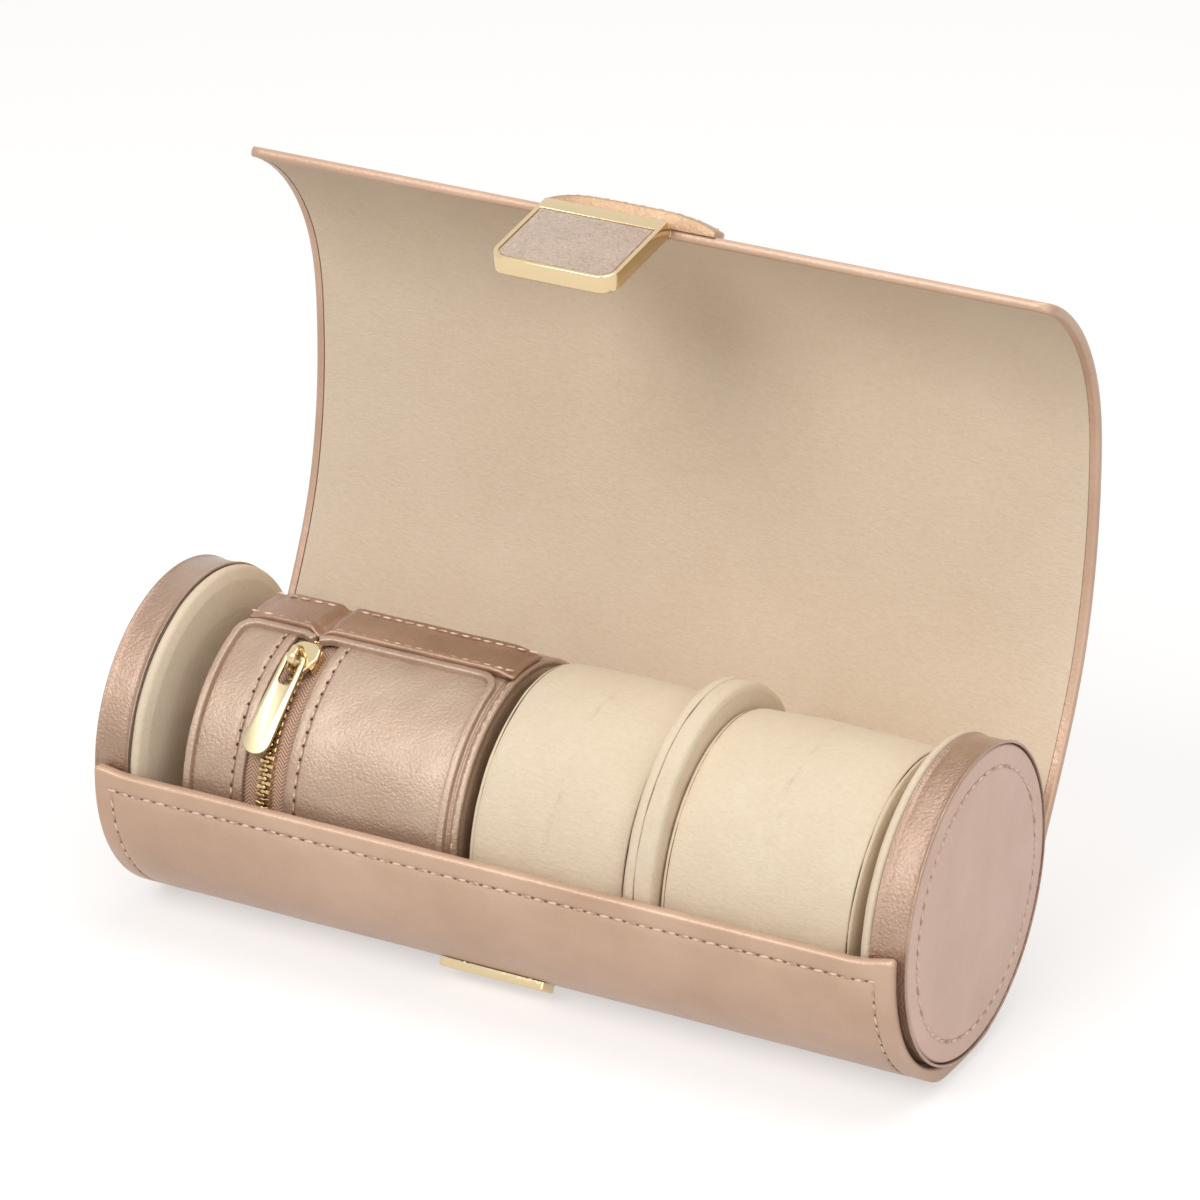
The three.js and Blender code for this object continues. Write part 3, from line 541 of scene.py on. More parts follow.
@dataclass(frozen=True)
class StudioSweep(Finish):
    """White studio floor: it reads as plain white to the camera and keeps the roll's shadow."""

    name: str
    tone: str = "#C2BFBD"
    lift: float = 0.53

    def shade(self, tree: Tree) -> Output:
        """Adds the floor's nodes.

        Args:
            tree: empty node tree of the material.

        Returns:
            The surface shader.
        """
        direct = direct_rays(tree)
        strength = add_node(tree, "Math", {"operation": "MULTIPLY", 1: self.lift}, {0: direct})
        paint = add_node(tree, "BsdfDiffuse", {"Color": linear(self.tone)})
        glow = add_node(tree, "Emission", {"Color": linear("#FFFFFF")}, {"Strength": strength})
        return add_node(tree, "AddShader", links={0: paint, 1: glow})


WRAP_LEATHER = FoilLeather("foil_leather_wrap")
BAND_LEATHER = FoilLeather(
    "foil_leather_band", shade_tone="#9A7C67", body_tone="#A88A75", light_tone="#B69883",
    metallic=0.6, roughness=0.34, film=0.7, grain=0.7, grain_depth=0.14, crinkle=1.2,
    crinkle_depth=0.11,
)
DISC_LEATHER = FoilLeather(
    "foil_leather_disc", shade_tone="#D0AE9B", body_tone="#D6B5A3", light_tone="#DCBCAB",
    metallic=0.3, roughness=0.46,
)
POUCH_LEATHER = FoilLeather(
    "foil_leather_pouch", shade_tone="#A88C75", body_tone="#B39882", light_tone="#BEA48E",
    metallic=0.42, film=0.8, roughness=0.33, grain=0.65, grain_depth=0.11, crinkle=1.1,
    crinkle_depth=0.11,
)
SPINE_LEATHER = FoilLeather(
    "foil_leather_spine", shade_tone="#96745C", body_tone="#A5826A", light_tone="#B28F77",
    metallic=0.5, film=0.3, roughness=0.38, grain=0.9, grain_depth=0.06, crinkle=2.6,
    crinkle_depth=0.14,
)
INLAY_LEATHER = FoilLeather(
    "foil_leather_inlay", shade_tone="#C8AA93", body_tone="#D5BAA5", light_tone="#E0C8B5",
    film=0.6, grain=0.75, grain_depth=0.6, crinkle=1.1, crinkle_depth=0.5,
)
TAB_LEATHER = FoilLeather(
    "foil_leather_tab", shade_tone="#A5825F", body_tone="#B79574", light_tone="#C5A685",
    metallic=0.3,
)
LINING_SUEDE = Microsuede("microsuede_lining")
CREAM_SUEDE = Microsuede(
    "microsuede_cream", shade_tone="#DCC8AD", body_tone="#E2D0B6", light_tone="#E8D8C0",
    patch=17.0, sheen=0.3,
)
# Painted shade: dark rings in the cushions' seam grooves and dark spots in the pouch's stitch
# holes.
SEAM_SHADOW = PressedFibre(
    "seam_shadow", dark_tone="#4E3A30", tone="#6B4E41", fleck=0.8, depth=0.02
)
# Painted shade: dark spots in the needle holes between the wrap's stitches.
HOLE_SHADE = PressedFibre(
    "needle_hole_shade", dark_tone="#7C5E4C", tone="#96755F", fleck=0.8, depth=0.02
)
THREAD = SewingThread("sewing_thread")
ZIP_TAPE = WovenTape("woven_zip_tape")
GOLD = PlatedMetal("plated_gold")
PULL_GOLD = PlatedMetal("plated_gold_satin", tone="#BCAD8C", roughness=0.34)
TEETH_GOLD = PlatedMetal("plated_gold_teeth", tone="#D3B887", roughness=0.24, buffing=0.4)
STEEL = PlatedMetal("bright_steel", tone="#C9C9C6", roughness=0.28)
BOARD = PressedFibre("pressed_board")
FOAM = PressedFibre("open_foam", dark_tone="#D8D2C2", tone="#ECE8DC", fleck=1.0, depth=0.2)
FLOOR = StudioSweep("studio_floor")


def rest() -> None:
    """Leaves edit mode and deselects every object."""
    active = bpy.context.view_layer.objects.active
    if active is not None and active.mode != "OBJECT":
        bpy.ops.object.mode_set(mode="OBJECT")
    bpy.ops.object.select_all(action="DESELECT")


def pick(piece: Piece) -> None:
    """Selects one object only and makes it the active one.

    Args:
        piece: object to select.
    """
    rest()
    piece.select_set(True)
    bpy.context.view_layer.objects.active = piece


@contextmanager
def editing(piece: Piece, everything: bool = False) -> Iterator[None]:
    """Opens a piece in edit mode and closes it again.

    Args:
        piece: object to open.
        everything: whether all of it is selected, or nothing.

    Returns:
        A context to edit it in.
    """
    pick(piece)
    bpy.ops.object.mode_set(mode="EDIT")
    bpy.ops.mesh.select_mode(type="VERT")
    bpy.ops.mesh.select_all(action="SELECT" if everything else "DESELECT")
    yield
    bpy.ops.object.mode_set(mode="OBJECT")


def named(name: str) -> Piece:
    """Gives the object that was just added its name, and its mesh the same.

    Args:
        name: the new name.

    Returns:
        The object.
    """
    piece = bpy.context.object
    piece.name = name
    piece.data.name = name
    return piece


def read_points(piece: Piece) -> np.ndarray:
    """Reads the vertices of a piece.

    Args:
        piece: object with a mesh.

    Returns:
        Their places, one row each.
    """
    flat = np.zeros(len(piece.data.vertices) * 3)
    piece.data.vertices.foreach_get("co", flat)
    return flat.reshape(-1, 3) / MM


def write_points(piece: Piece, points: np.ndarray) -> None:
    """Moves the vertices of a piece to places given in millimetres."""
    piece.data.vertices.foreach_set("co", (points * MM).ravel())
    piece.data.update()


def choose_faces(piece: Piece, wanted: Callable[[Vector, Vector], bool]) -> None:
    """Selects faces in edit mode.

    Args:
        piece: object open in edit mode.
        wanted: tells from a face's middle and its normal whether it is chosen.
    """
    bpy.ops.mesh.select_mode(type="FACE")
    shape = bmesh.from_edit_mesh(piece.data)
    for face in shape.faces:
        face.select_set(wanted(face.calc_center_median() / MM, face.normal))
    bmesh.update_edit_mesh(piece.data)


def choose_sharp(piece: Piece, wanted: Callable[[Vector], bool], sharp: float = 50) -> None:
    """Selects sharp edges in edit mode.

    Args:
        piece: object open in edit mode.
        wanted: tells from an edge's middle whether it is chosen.
        sharp: smallest angle between the faces beside it, in degrees.
    """
    bpy.ops.mesh.select_mode(type="EDGE")
    shape = bmesh.from_edit_mesh(piece.data)
    limit = math.radians(sharp)
    for edge in shape.edges:
        middle = (edge.verts[0].co + edge.verts[1].co) / (2 * MM)
        edge.select_set(edge.calc_face_angle(0) > limit and wanted(middle))
    bmesh.update_edit_mesh(piece.data)


def soften(
    piece: Piece, width: float, segments: int = 3,
    wanted: Callable[[Vector], bool] = lambda middle: True, sharp: float = 50,
) -> None:
    """Rounds the sharp edges of a piece.

    Args:
        piece: object in object mode.
        width: reach of the rounding on each side.
        segments: faces across the rounding.
        wanted: tells from an edge's middle whether it is rounded.
        sharp: smallest angle between the faces beside it, in degrees.
    """
    with editing(piece):
        choose_sharp(piece, wanted, sharp)
        bpy.ops.mesh.bevel(offset=width * MM, segments=segments, profile=0.5, clamp_overlap=True)


def raise_faces(
    piece: Piece, wanted: Callable[[Vector, Vector], bool], move: Sequence[float]
) -> None:
    """Extrudes chosen faces.

    Args:
        piece: object in object mode.
        wanted: tells from a face's middle and its normal whether it is chosen.
        move: distance.
    """
    with editing(piece):
        choose_faces(piece, wanted)
        bpy.ops.mesh.extrude_region_move(
            TRANSFORM_OT_translate={"value": [value * MM for value in move]}
        )


def outward(piece: Piece) -> None:
    """Merges doubles and turns every face outwards.

    Args:
        piece: object in object mode.
    """
    with editing(piece, everything=True):
        bpy.ops.mesh.remove_doubles(threshold=0.0005 * MM)
        bpy.ops.mesh.normals_make_consistent(inside=False)


def smooth(piece: Piece, angle: float = 38) -> None:
    """Shades a piece smooth, apart from edges sharper than an angle in degrees."""
    pick(piece)
    bpy.ops.object.shade_smooth_by_angle(angle=math.radians(angle))


def draw(name: str, points: Sequence[Sequence[float]], closed: bool) -> Piece:
    """Draws a line of edges by extruding a single vertex from point to point.

    Args:
        name: name of the new object.
        points: places.
        closed: whether the last point joins the first.

    Returns:
        The new object.
    """
    rest()
    bpy.ops.mesh.primitive_plane_add(size=MM)
    piece = named(name)
    places = [Vector(point) * MM for point in points]
    bpy.ops.object.mode_set(mode="EDIT")
    bpy.ops.mesh.select_mode(type="VERT")
    bpy.ops.mesh.select_all(action="SELECT")
    bpy.ops.mesh.merge(type="CENTER")
    bpy.ops.transform.translate(value=places[0])
    for near, far in zip(places, places[1:]):
        bpy.ops.mesh.extrude_region_move(TRANSFORM_OT_translate={"value": far - near})
    if closed:
        bpy.ops.mesh.select_mode(type="VERT")
        shape = bmesh.from_edit_mesh(piece.data)
        for vertex in shape.verts:
            vertex.select_set(vertex.index in (0, len(places) - 1))
        bmesh.update_edit_mesh(piece.data)
        bpy.ops.mesh.edge_face_add()
    bpy.ops.object.mode_set(mode="OBJECT")
    return piece


def turn(
    name: str, profile: Sequence[Pair], height: float, closed: bool = False, steps: int = 128
) -> Piece:
    """Turns a profile round the roll's direction, as on a lathe.

    Args:
        name: name of the new object.
        profile: (across, radius) points.
        height: height of the axis over the table.
        closed: whether the profile is a loop, which gives a ring.
        steps: facets round the axis.

    Returns:
        The new object, closed and facing outwards.
    """
    piece = draw(name, [(x, 0, height + radius) for x, radius in profile], closed)
    with editing(piece, everything=True):
        bpy.ops.mesh.spin(
            steps=steps, angle=math.tau, center=(0, 0, height * MM), axis=(1, 0, 0),
            use_auto_merge=True,
        )
    outward(piece)
    return piece


def fillet(
    corners: Sequence[tuple[float, float, float]], closed: bool = False, steps: int = 5
) -> list[Pair]:
    """Rounds the corners of an outline.

    Args:
        corners: (first, second, radius) of each corner.
        closed: whether the last corner joins the first.
        steps: edges in each rounding.

    Returns:
        Points of the rounded outline.
    """
    points: list[Pair] = []
    last = len(corners) - 1
    for index, (first, second, radius) in enumerate(corners):
        here = Vector((first, second))
        if radius <= 0 or (not closed and index in (0, last)):
            points.append((first, second))
            continue
        back = Vector(corners[index - 1][:2]) - here
        ahead = Vector(corners[(index + 1) % len(corners)][:2]) - here
        half = back.angle(ahead) / 2
        reach = min(radius / math.tan(half), 0.49 * back.length, 0.49 * ahead.length)
        fair = reach * math.tan(half)
        middle = (back.normalized() + ahead.normalized()).normalized()
        centre = here + middle * (fair / math.sin(half))
        start = here + back.normalized() * reach - centre
        end = here + ahead.normalized() * reach - centre
        swing = math.pi - 2 * half
        for step in range(steps + 1):
            share = step / steps
            arm = start * math.sin((1 - share) * swing) + end * math.sin(share * swing)
            place = centre + arm / math.sin(swing)
            points.append((place.x, place.y))
    return points


def spaced(start: float, end: float, step: float) -> list[float]:
    """Even places from start to end, about a step apart, both ends included."""
    count = max(1, round(abs(end - start) / step))
    return [start + (end - start) * i / count for i in range(count + 1)]


def lines(*runs: Sequence[float]) -> list[float]:
    """Joins runs of places into one rising list without repeats."""
    merged = sorted({round(value, 4) for run in runs for value in run})
    return [v for i, v in enumerate(merged) if i == 0 or v - merged[i - 1] > 0.02]


def slab(
    name: str, across: Sequence[float], along: Sequence[float], low: float, high: float
) -> Piece:
    """Makes a flat slab from a grid whose lines are slid to given places.

    Args:
        name: name of the new object.
        across: places of the lines that cross the first direction.
        along: places of the lines that cross the second direction.
        low: height of the lower face.
        high: height of the upper face.

    Returns:
        The new object, closed and facing outwards.
    """
    rest()
    bpy.ops.mesh.primitive_grid_add(
        x_subdivisions=len(across) - 1, y_subdivisions=len(along) - 1, size=2
    )
    piece = named(name)
    points = read_points(piece) * MM
    column = np.rint((points[:, 0] + 1) / 2 * (len(across) - 1)).astype(int)
    row = np.rint((points[:, 1] + 1) / 2 * (len(along) - 1)).astype(int)
    places = np.stack(
        [np.array(across)[column], np.array(along)[row], np.full(len(points), low)], 1
    )
    write_points(piece, places)
    with editing(piece, everything=True):
        bpy.ops.mesh.extrude_region_move(
            TRANSFORM_OT_translate={"value": (0, 0, (high - low) * MM)}
        )
    outward(piece)
    return piece


def plate(name: str, outline: Sequence[Pair], low: float, high: float) -> Piece:
    """Makes a flat plate by drawing its outline, filling it and extruding it.

    Args:
        name: name of the new object.
        outline: (across, along) points.
        low: height of the lower face.
        high: height of the upper face.

    Returns:
        The new object, closed and facing outwards.
    """
    piece = draw(name, [(x, y, low) for x, y in outline], closed=True)
    with editing(piece, everything=True):
        bpy.ops.mesh.edge_face_add()
        bpy.ops.mesh.extrude_region_move(
            TRANSFORM_OT_translate={"value": (0, 0, (high - low) * MM)}
        )
    outward(piece)
    return piece


def dress(
    piece: Piece, finish: Finish, body: str | None = None,
    stands_for: Sequence[str] = (),
) -> Piece:
    """Gives a finished piece its material, body and the nodes that it stands for.

    Args:
        piece: object whose mesh is final.
        finish: finish of the whole piece.
        body: CAD body that it rides on, or None, which leaves it unattached here.
        stands_for: CAD nodes that it replaces.

    Returns:
        The same object.
    """
    piece.data.materials.clear()
    piece.data.materials.append(finish.material())
    if body is not None:
        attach(piece, body)
    if stands_for:
        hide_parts(*stands_for)
    log.info("%s: %d faces, %s", piece.name, len(piece.data.polygons), finish.name)
    return piece


def ripple(piece: Piece, height: float, size: float, offset: float = 0.0) -> None:
    """Works slow unevenness into a piece, as in hand-laid leather.

    Args:
        piece: object in object mode.
        height: full height of the waves.
        size: distance between waves.
        offset: moves the pattern, so that neighbours differ.
    """
    points = read_points(piece)
    normals = np.zeros(len(points) * 3)
    piece.data.vertex_normals.foreach_get("vector", normals)
    waves = unevenness(points + offset, size)
    write_points(piece, points + normals.reshape(-1, 3) * (waves * height / 2)[:, None])


def unevenness(points: np.ndarray, size: float) -> np.ndarray:
    """Smooth pseudo-random heights.

    Args:
        points: places, one row each.
        size: distance between waves.

    Returns:
        A height from -1 to 1 for each place.
    """
    turns = math.tau / size
    x, y, z = (points * turns).T
    slow = np.sin(0.61 * x + 1.3 * np.sin(0.37 * z + 0.5)) * np.cos(0.53 * y + 0.8)
    mid = np.sin(1.07 * x - 0.71 * z + 2.0 + slow) * np.sin(0.93 * y + 0.49 * z)
    fast = np.sin(1.9 * z + 1.1 * y + 1.7 * mid) * np.cos(2.3 * x + 0.9 * mid)
    return 0.5 * slow + 0.3 * mid + 0.2 * fast


def smooth_step(value: np.ndarray, start: float, end: float) -> np.ndarray:
    """Rises smoothly from 0 at start to 1 at end.

    Args:
        value: any numbers.
        start: number that gives 0.
        end: number that gives 1.

    Returns:
        A share for each number.
    """
    share = np.clip((value - start) / (end - start), 0, 1)
    return share * share * (3 - 2 * share)


class Surface:
    """A surface that a flat pattern is laid on: (across, along, height) to a place in space."""

    def lay(self, flat: np.ndarray) -> np.ndarray:
        """Places of flat points, both in millimetres, one row each."""
        raise NotImplementedError

    def carry(self, piece: Piece) -> Piece:
        """Lays a flat piece on the surface and turns its faces outwards.

        Args:
            piece: object drawn as a flat pattern.

        Returns:
            The same object.
        """
        write_points(piece, self.lay(read_points(piece)))
        outward(piece)
        return piece

    def stand(self, across: float, along: float, height: float, run: Run) -> Matrix:
        """Frame at a place: first axis along the run, third axis out of the surface.

        Args:
            across: first flat coordinate.
            along: second flat coordinate.
            height: third flat coordinate.
            run: direction that the first axis follows.

        Returns:
            Matrix with its place in metres and unit axes.
        """
        near = 0.05
        at = np.array([[across, along, height]])
        move = np.array([[near, 0, 0]]) if run is Run.ACROSS else np.array([[0, near, 0]])
        lift = np.array([[0, 0, near]])
        here = self.lay(at)[0]
        first = Vector(self.lay(at + move)[0] - self.lay(at - move)[0]).normalized()
        third = Vector(self.lay(at + lift)[0] - self.lay(at - lift)[0])
        third = (third - first * third.dot(first)).normalized()
        second = third.cross(first)
        turned = Matrix((first, second, third)).transposed().to_4x4()
        return Matrix.Translation(Vector(here) * MM) @ turned


@dataclass(frozen=True)
class Barrel(Surface):
    """A cylinder along the roll; `along` is arc length upwards from the front horizontal."""

    height: float
    radius: float

    def lay(self, flat: np.ndarray) -> np.ndarray:
        """Places of flat points on the cylinder.

        Args:
            flat: (across, along, height) rows.

        Returns:
            (across, depth, height) rows.
        """
        angle = flat[:, 1] / self.radius
        reach = self.radius + flat[:, 2]
        return np.stack(
            [flat[:, 0], -reach * np.cos(angle), self.height + reach * np.sin(angle)], 1
        )


@dataclass(frozen=True)
class WrapSurface(Surface):
    """The stiff wrap; `along` runs from its front edge down, under the roll and up the back."""

    radius: float = 39.0
    lip: float = 4.0  # degrees above the front horizontal
    outer: float = 40.65
    flat_half: float = 13.0
    half_length: float = HALF_LENGTH

    def reach(self, below: np.ndarray) -> np.ndarray:
        """Outer radius of the wrap, with its flat underside.

        Args:
            below: angles from straight down, in radians.

        Returns:
            The radius at each angle.
        """
        corner = math.atan2(self.flat_half, AXIS_HEIGHT)
        long = math.hypot(self.flat_half, AXIS_HEIGHT)
        touch = corner + math.acos(self.outer / long)
        total = np.zeros_like(below)
        blur = np.radians(np.linspace(-5, 5, 9))
        for shift in blur:
            angle = np.abs(below + shift)
            under = AXIS_HEIGHT / np.cos(np.minimum(angle, corner))
            slope = self.outer / np.cos(np.clip(touch - angle, 0, touch - corner))
            total += np.where(angle < corner, under, np.where(angle < touch, slope, self.outer))
        smooth_reach = total / len(blur)
        limit = AXIS_HEIGHT / np.maximum(np.cos(np.minimum(np.abs(below), 1.2)), 0.2)
        return np.minimum(smooth_reach, limit)

    def lay(self, flat: np.ndarray) -> np.ndarray:
        """Places of flat points on the wrap.

        Args:
            flat: (across, along, height) rows.

        Returns:
            (across, depth, height) rows.
        """
        across, along, height = flat.T
        near_end = smooth_step(np.abs(across), 92.0, self.half_length)
        flare = np.where(across > 0, 1.7, 1.0) * near_end * (1 - smooth_step(along, -2, 16))
        angle = math.radians(self.lip) - (along - flare) / self.radius
        full = self.reach(angle + math.pi / 2) - self.radius
        above = np.where(height > 0, height / (self.outer - self.radius) * full, height)
        radius = self.radius + above
        return np.stack([across, -radius * np.cos(angle), AXIS_HEIGHT + radius * np.sin(angle)], 1)


@dataclass(eq=False)
class FlapSurface(Surface):
    """The long flap; `along` runs from where it leaves the wrap at the back to its free edge.

    Args:
        pitch: distance between two bends, along the flap.
        marks: (depth, height) of the CAD part's bends and of the free edge's hinge.
        headings: (along, degrees from the back towards up) of the curve between them.
        reach: how far along the curve is worked out.
        hinge_radius: radius of the wrap where the flap lies on it.
        hinge_angle: direction from the roll's axis to the first bend, in degrees.
        overlap: length of the flap that lies on the wrap.
        free_edge: place of the free edge along the flap.
    """

    pitch: float = 21.7
    marks: tuple[Pair, ...] = (
        (38.454, 33.346), (48.641, 52.506), (57.812, 72.173), (62.694, 93.317), (64.018, 114.976),
        (61.562, 136.537), (51.042, 155.516), (33.486, 168.271),
    )
    headings: tuple[Pair, ...] = (
        (0.0, 80.4), (5.0, 62.5), (10.85, 62.0), (32.55, 65.0), (54.25, 77.0), (75.95, 86.5),
        (97.65, 96.5), (119.35, 119.0), (141.05, 144.0), (151.9, 156.0), (156.0, 158.0),
    )
    reach: float = 156.0
    hinge_radius: float = 39.0
    hinge_angle: float = 189.6
    thickness: float = 2.4
    overlap: float = 6.8
    free_edge: float = 151.9
    table: np.ndarray = field(init=False, repr=False)
    path: np.ndarray = field(init=False, repr=False)
    bearing: np.ndarray = field(init=False, repr=False)

    def __post_init__(self) -> None:
        """Works out the flap's curve once, as places and directions at even steps along it."""
        step = 0.25
        self.table = np.arange(0, self.reach + step, step)
        knots, angles = np.array(self.headings).T
        bearing = np.radians(self.ease(knots, angles, self.table))
        middle = (bearing[1:] + bearing[:-1]) / 2
        rise = np.stack([np.cos(middle), np.sin(middle)], 1) * step
        hinge = np.array(self.marks[0])
        self.path = np.vstack([[hinge], hinge + np.cumsum(rise, 0)])
        stops = np.arange(len(self.marks)) * self.pitch
        for side in range(2):
            miss = np.array(self.marks)[:, side] - np.interp(stops, self.table, self.path[:, side])
            self.path[:, side] += self.ease(
                np.append(stops, self.reach), np.append(miss, miss[-1]), self.table
            )
        slope = np.gradient(self.path, step, axis=0)
        self.bearing = np.unwrap(np.arctan2(slope[:, 1], slope[:, 0]))

    @staticmethod
    def ease(knots: np.ndarray, values: np.ndarray, at: np.ndarray) -> np.ndarray:
        """Smooth curve through knots.

        Args:
            knots: rising places.
            values: value at each knot.
            at: places wanted.

        Returns:
            Value at each wanted place.
        """
        slope = np.gradient(values, knots)
        index = np.clip(np.searchsorted(knots, at, side="right") - 1, 0, len(knots) - 2)
        width = knots[index + 1] - knots[index]
        share = (at - knots[index]) / width
        back = 1 - share
        return (
            values[index] * back * back * (1 + 2 * share)
            + values[index + 1] * share * share * (3 - 2 * share)
            + slope[index] * width * share * back * back
            - slope[index + 1] * width * share * share * back
        )

    def lay(self, flat: np.ndarray) -> np.ndarray:
        """Places of flat points on the flap.

        Args:
            flat: (across, along, height) rows.

        Returns:
            (across, depth, height) rows.
        """
        across, along, height = flat.T
        on_wrap = along < 0
        angle = math.radians(self.hinge_angle) - along / self.hinge_radius
        bearing = np.where(
            on_wrap, np.arctan2(-np.cos(angle), -np.sin(angle)),
            np.interp(along, self.table, self.bearing),
        )
        y = np.where(
            on_wrap, -self.hinge_radius * np.cos(angle),
            np.interp(along, self.table, self.path[:, 0]),
        )
        z = np.where(
            on_wrap, AXIS_HEIGHT + self.hinge_radius * np.sin(angle),
            np.interp(along, self.table, self.path[:, 1]),
        )
        share = np.clip(-along / self.overlap, 0, 1)
        low = WRAP_INNER * share
        high = self.thickness + (WRAP_OUTER - self.thickness) * share
        lift = low + height / self.thickness * (high - low)
        y = y + np.sin(bearing) * lift
        z = z - np.cos(bearing) * lift
        return np.stack([across, y, z], 1)

    def point(self, along: float, across: float = 0.0, height: float = 0.0) -> Vector:
        """A single place on the flap, in metres."""
        return Vector(self.lay(np.array([[across, along, height]]))[0]) * MM


@dataclass(frozen=True)
class Trail(Surface):
    """A path over another surface; `along` is distance on the path, `across` is beside it.

    Args:
        base: surface that the path lies on.
        path: (across, along) places of the path on the base, close together.
    """

    base: Surface
    path: tuple[Pair, ...]

    def distances(self) -> np.ndarray:
        """Distance along the path of each of its places."""
        steps = np.hypot(*np.diff(np.array(self.path), axis=0).T)
        return np.concatenate([[0.0], np.cumsum(steps)])

    def lay(self, flat: np.ndarray) -> np.ndarray:
        """Places of flat points on the strip.

        Args:
            flat: (across, along, height) rows.

        Returns:
            (across, depth, height) rows.
        """
        path = np.array(self.path)
        reach = self.distances()
        slope = np.gradient(path, reach, axis=0)
        slope /= np.linalg.norm(slope, axis=1)[:, None]
        place = [np.interp(flat[:, 1], reach, path[:, side]) for side in range(2)]
        lean = [np.interp(flat[:, 1], reach, slope[:, side]) for side in range(2)]
        moved = [place[0] + lean[1] * flat[:, 0], place[1] - lean[0] * flat[:, 0], flat[:, 2]]
        return self.base.lay(np.stack(moved, 1))


@dataclass(frozen=True)
class TiltedPlane(Surface):
    """A plane square to the roll's side view; `along` and `height` are turned about the roll.

    Args:
        middle: place across the roll of the pattern's own middle.
        origin: (depth, height) of the pattern's origin.
        along_angle: direction of `along`, in degrees from the back towards up.
        turn: degrees that the pattern is turned in its own plane.
    """

    middle: float
    origin: Pair
    along_angle: float
    turn: float = 0.0

    def lay(self, flat: np.ndarray) -> np.ndarray:
        """Places of flat points on the plane.

        Args:
            flat: (across, along, height) rows.

        Returns:
            (across, depth, height) rows.
        """
        spin = math.radians(self.turn)
        across = flat[:, 0] * math.cos(spin) - flat[:, 1] * math.sin(spin)
        along = flat[:, 0] * math.sin(spin) + flat[:, 1] * math.cos(spin)
        lean = math.radians(self.along_angle)
        out = lean - math.pi / 2
        return np.stack(
            [
                self.middle + across,
                self.origin[0] + along * math.cos(lean) + flat[:, 2] * math.cos(out),
                self.origin[1] + along * math.sin(lean) + flat[:, 2] * math.sin(out),
            ],
            1,
        )


@dataclass(frozen=True)
class EndFace(Surface):
    """The flat outer face of a round end; `across` is arc length at a radius, `along` radius."""

    side: int
    radius: float
    face: float = 103.2

    def lay(self, flat: np.ndarray) -> np.ndarray:
        """Places of flat points on the face.

        Args:
            flat: (across, along, height) rows.

        Returns:
            (across, depth, height) rows.
        """
        angle = flat[:, 0] / self.radius
        return np.stack(
            [
                self.side * (self.face + flat[:, 2]), -flat[:, 1] * np.cos(angle),
                AXIS_HEIGHT + flat[:, 1] * np.sin(angle),
            ],
            1,
        )


@dataclass(frozen=True)
class Seam:
    """A row of stitches.

    Args:
        name: name of the piece.
        surface: surface that it runs over.
        run: direction of the row.
        places: (across, along, height) of the middle of each stitch.
        length: length of a stitch.
        width: width of the thread.
        slant: degrees that each stitch is turned in the surface.
    """

    name: str
    surface: Surface
    run: Run
    places: Sequence[tuple[float, float, float]]
    length: float = 2.2
    width: float = 0.7
    slant: float = 6.0

    def build(self) -> Piece:
        """Models one stitch, copies it along the row and joins the copies.

        Returns:
            The joined row.
        """
        rest()
        bpy.ops.mesh.primitive_uv_sphere_add(segments=6, ring_count=5, radius=0.5)
        one = named(self.name)
        with editing(one, everything=True):
            bpy.ops.transform.rotate(value=math.pi / 2, orient_axis="Y", center_override=(0, 0, 0))
            bpy.ops.transform.resize(
                value=(self.length * MM, self.width * MM, self.width * 0.75 * MM),
                center_override=(0, 0, 0),
            )
        tilt = Matrix.Rotation(math.radians(self.slant), 4, "Z")
        frames = [self.surface.stand(*place, self.run) @ tilt for place in self.places]
        return repeat(self.name, one, frames)

    def sew(self, body: str | None = None, finish: Finish = THREAD) -> Piece:
        """Builds the row and dresses it.

        Args:
            body: CAD body that it rides on, or None, which leaves it unattached here.
            finish: thread, or the painted shade of needle holes.

        Returns:
            The joined row.
        """
        return dress(self.build(), finish, body)


def hole_shade_spots(seam: Seam, shift: float) -> Seam:
    """The needle holes between the stitches of a row, as spots of painted shade.

    Args:
        seam: row of stitches.
        shift: distance from a stitch to the next hole.

    Returns:
        A row of small round spots, sunk a little deeper than the stitches.
    """
    along = seam.run is Run.ALONG
    places = [
        (x + (0 if along else shift), s + (shift if along else 0), height - 0.06)
        for x, s, height in seam.places
    ]
    return replace(seam, name=f"{seam.name}_holes", places=places, length=0.8, width=0.6, slant=0)


def join(name: str, pieces: Sequence[Piece]) -> Piece:
    """Joins pieces into the first one and names it.

    Args:
        name: name of the joined piece.
        pieces: objects to join.

    Returns:
        The joined piece.
    """
    rest()
    for piece in pieces:
        piece.select_set(True)
    bpy.context.view_layer.objects.active = pieces[0]
    if len(pieces) > 1:
        bpy.ops.object.join()
    joined = pieces[0]
    joined.name = name
    joined.data.name = name
    bpy.ops.object.shade_smooth()
    return joined


def duplicate(piece: Piece) -> Piece:
    """Copies an object together with its mesh.

    Args:
        piece: object to copy.

    Returns:
        The copy.
    """
    made = piece.copy()
    made.data = piece.data.copy()
    bpy.context.collection.objects.link(made)
    return made


def repeat(name: str, one: Piece, frames: Sequence[Matrix]) -> Piece:
    """Copies a small piece into each of many frames, joins the copies and removes it.

    Args:
        name: name of the joined piece.
        one: piece to copy, modelled at the origin.
        frames: place and direction of each copy.

    Returns:
        The joined piece.
    """
    copies = []
    for frame in frames:
        made = duplicate(one)
        made.data.transform(frame)
        copies.append(made)
    bpy.data.objects.remove(one)
    return join(name, copies)


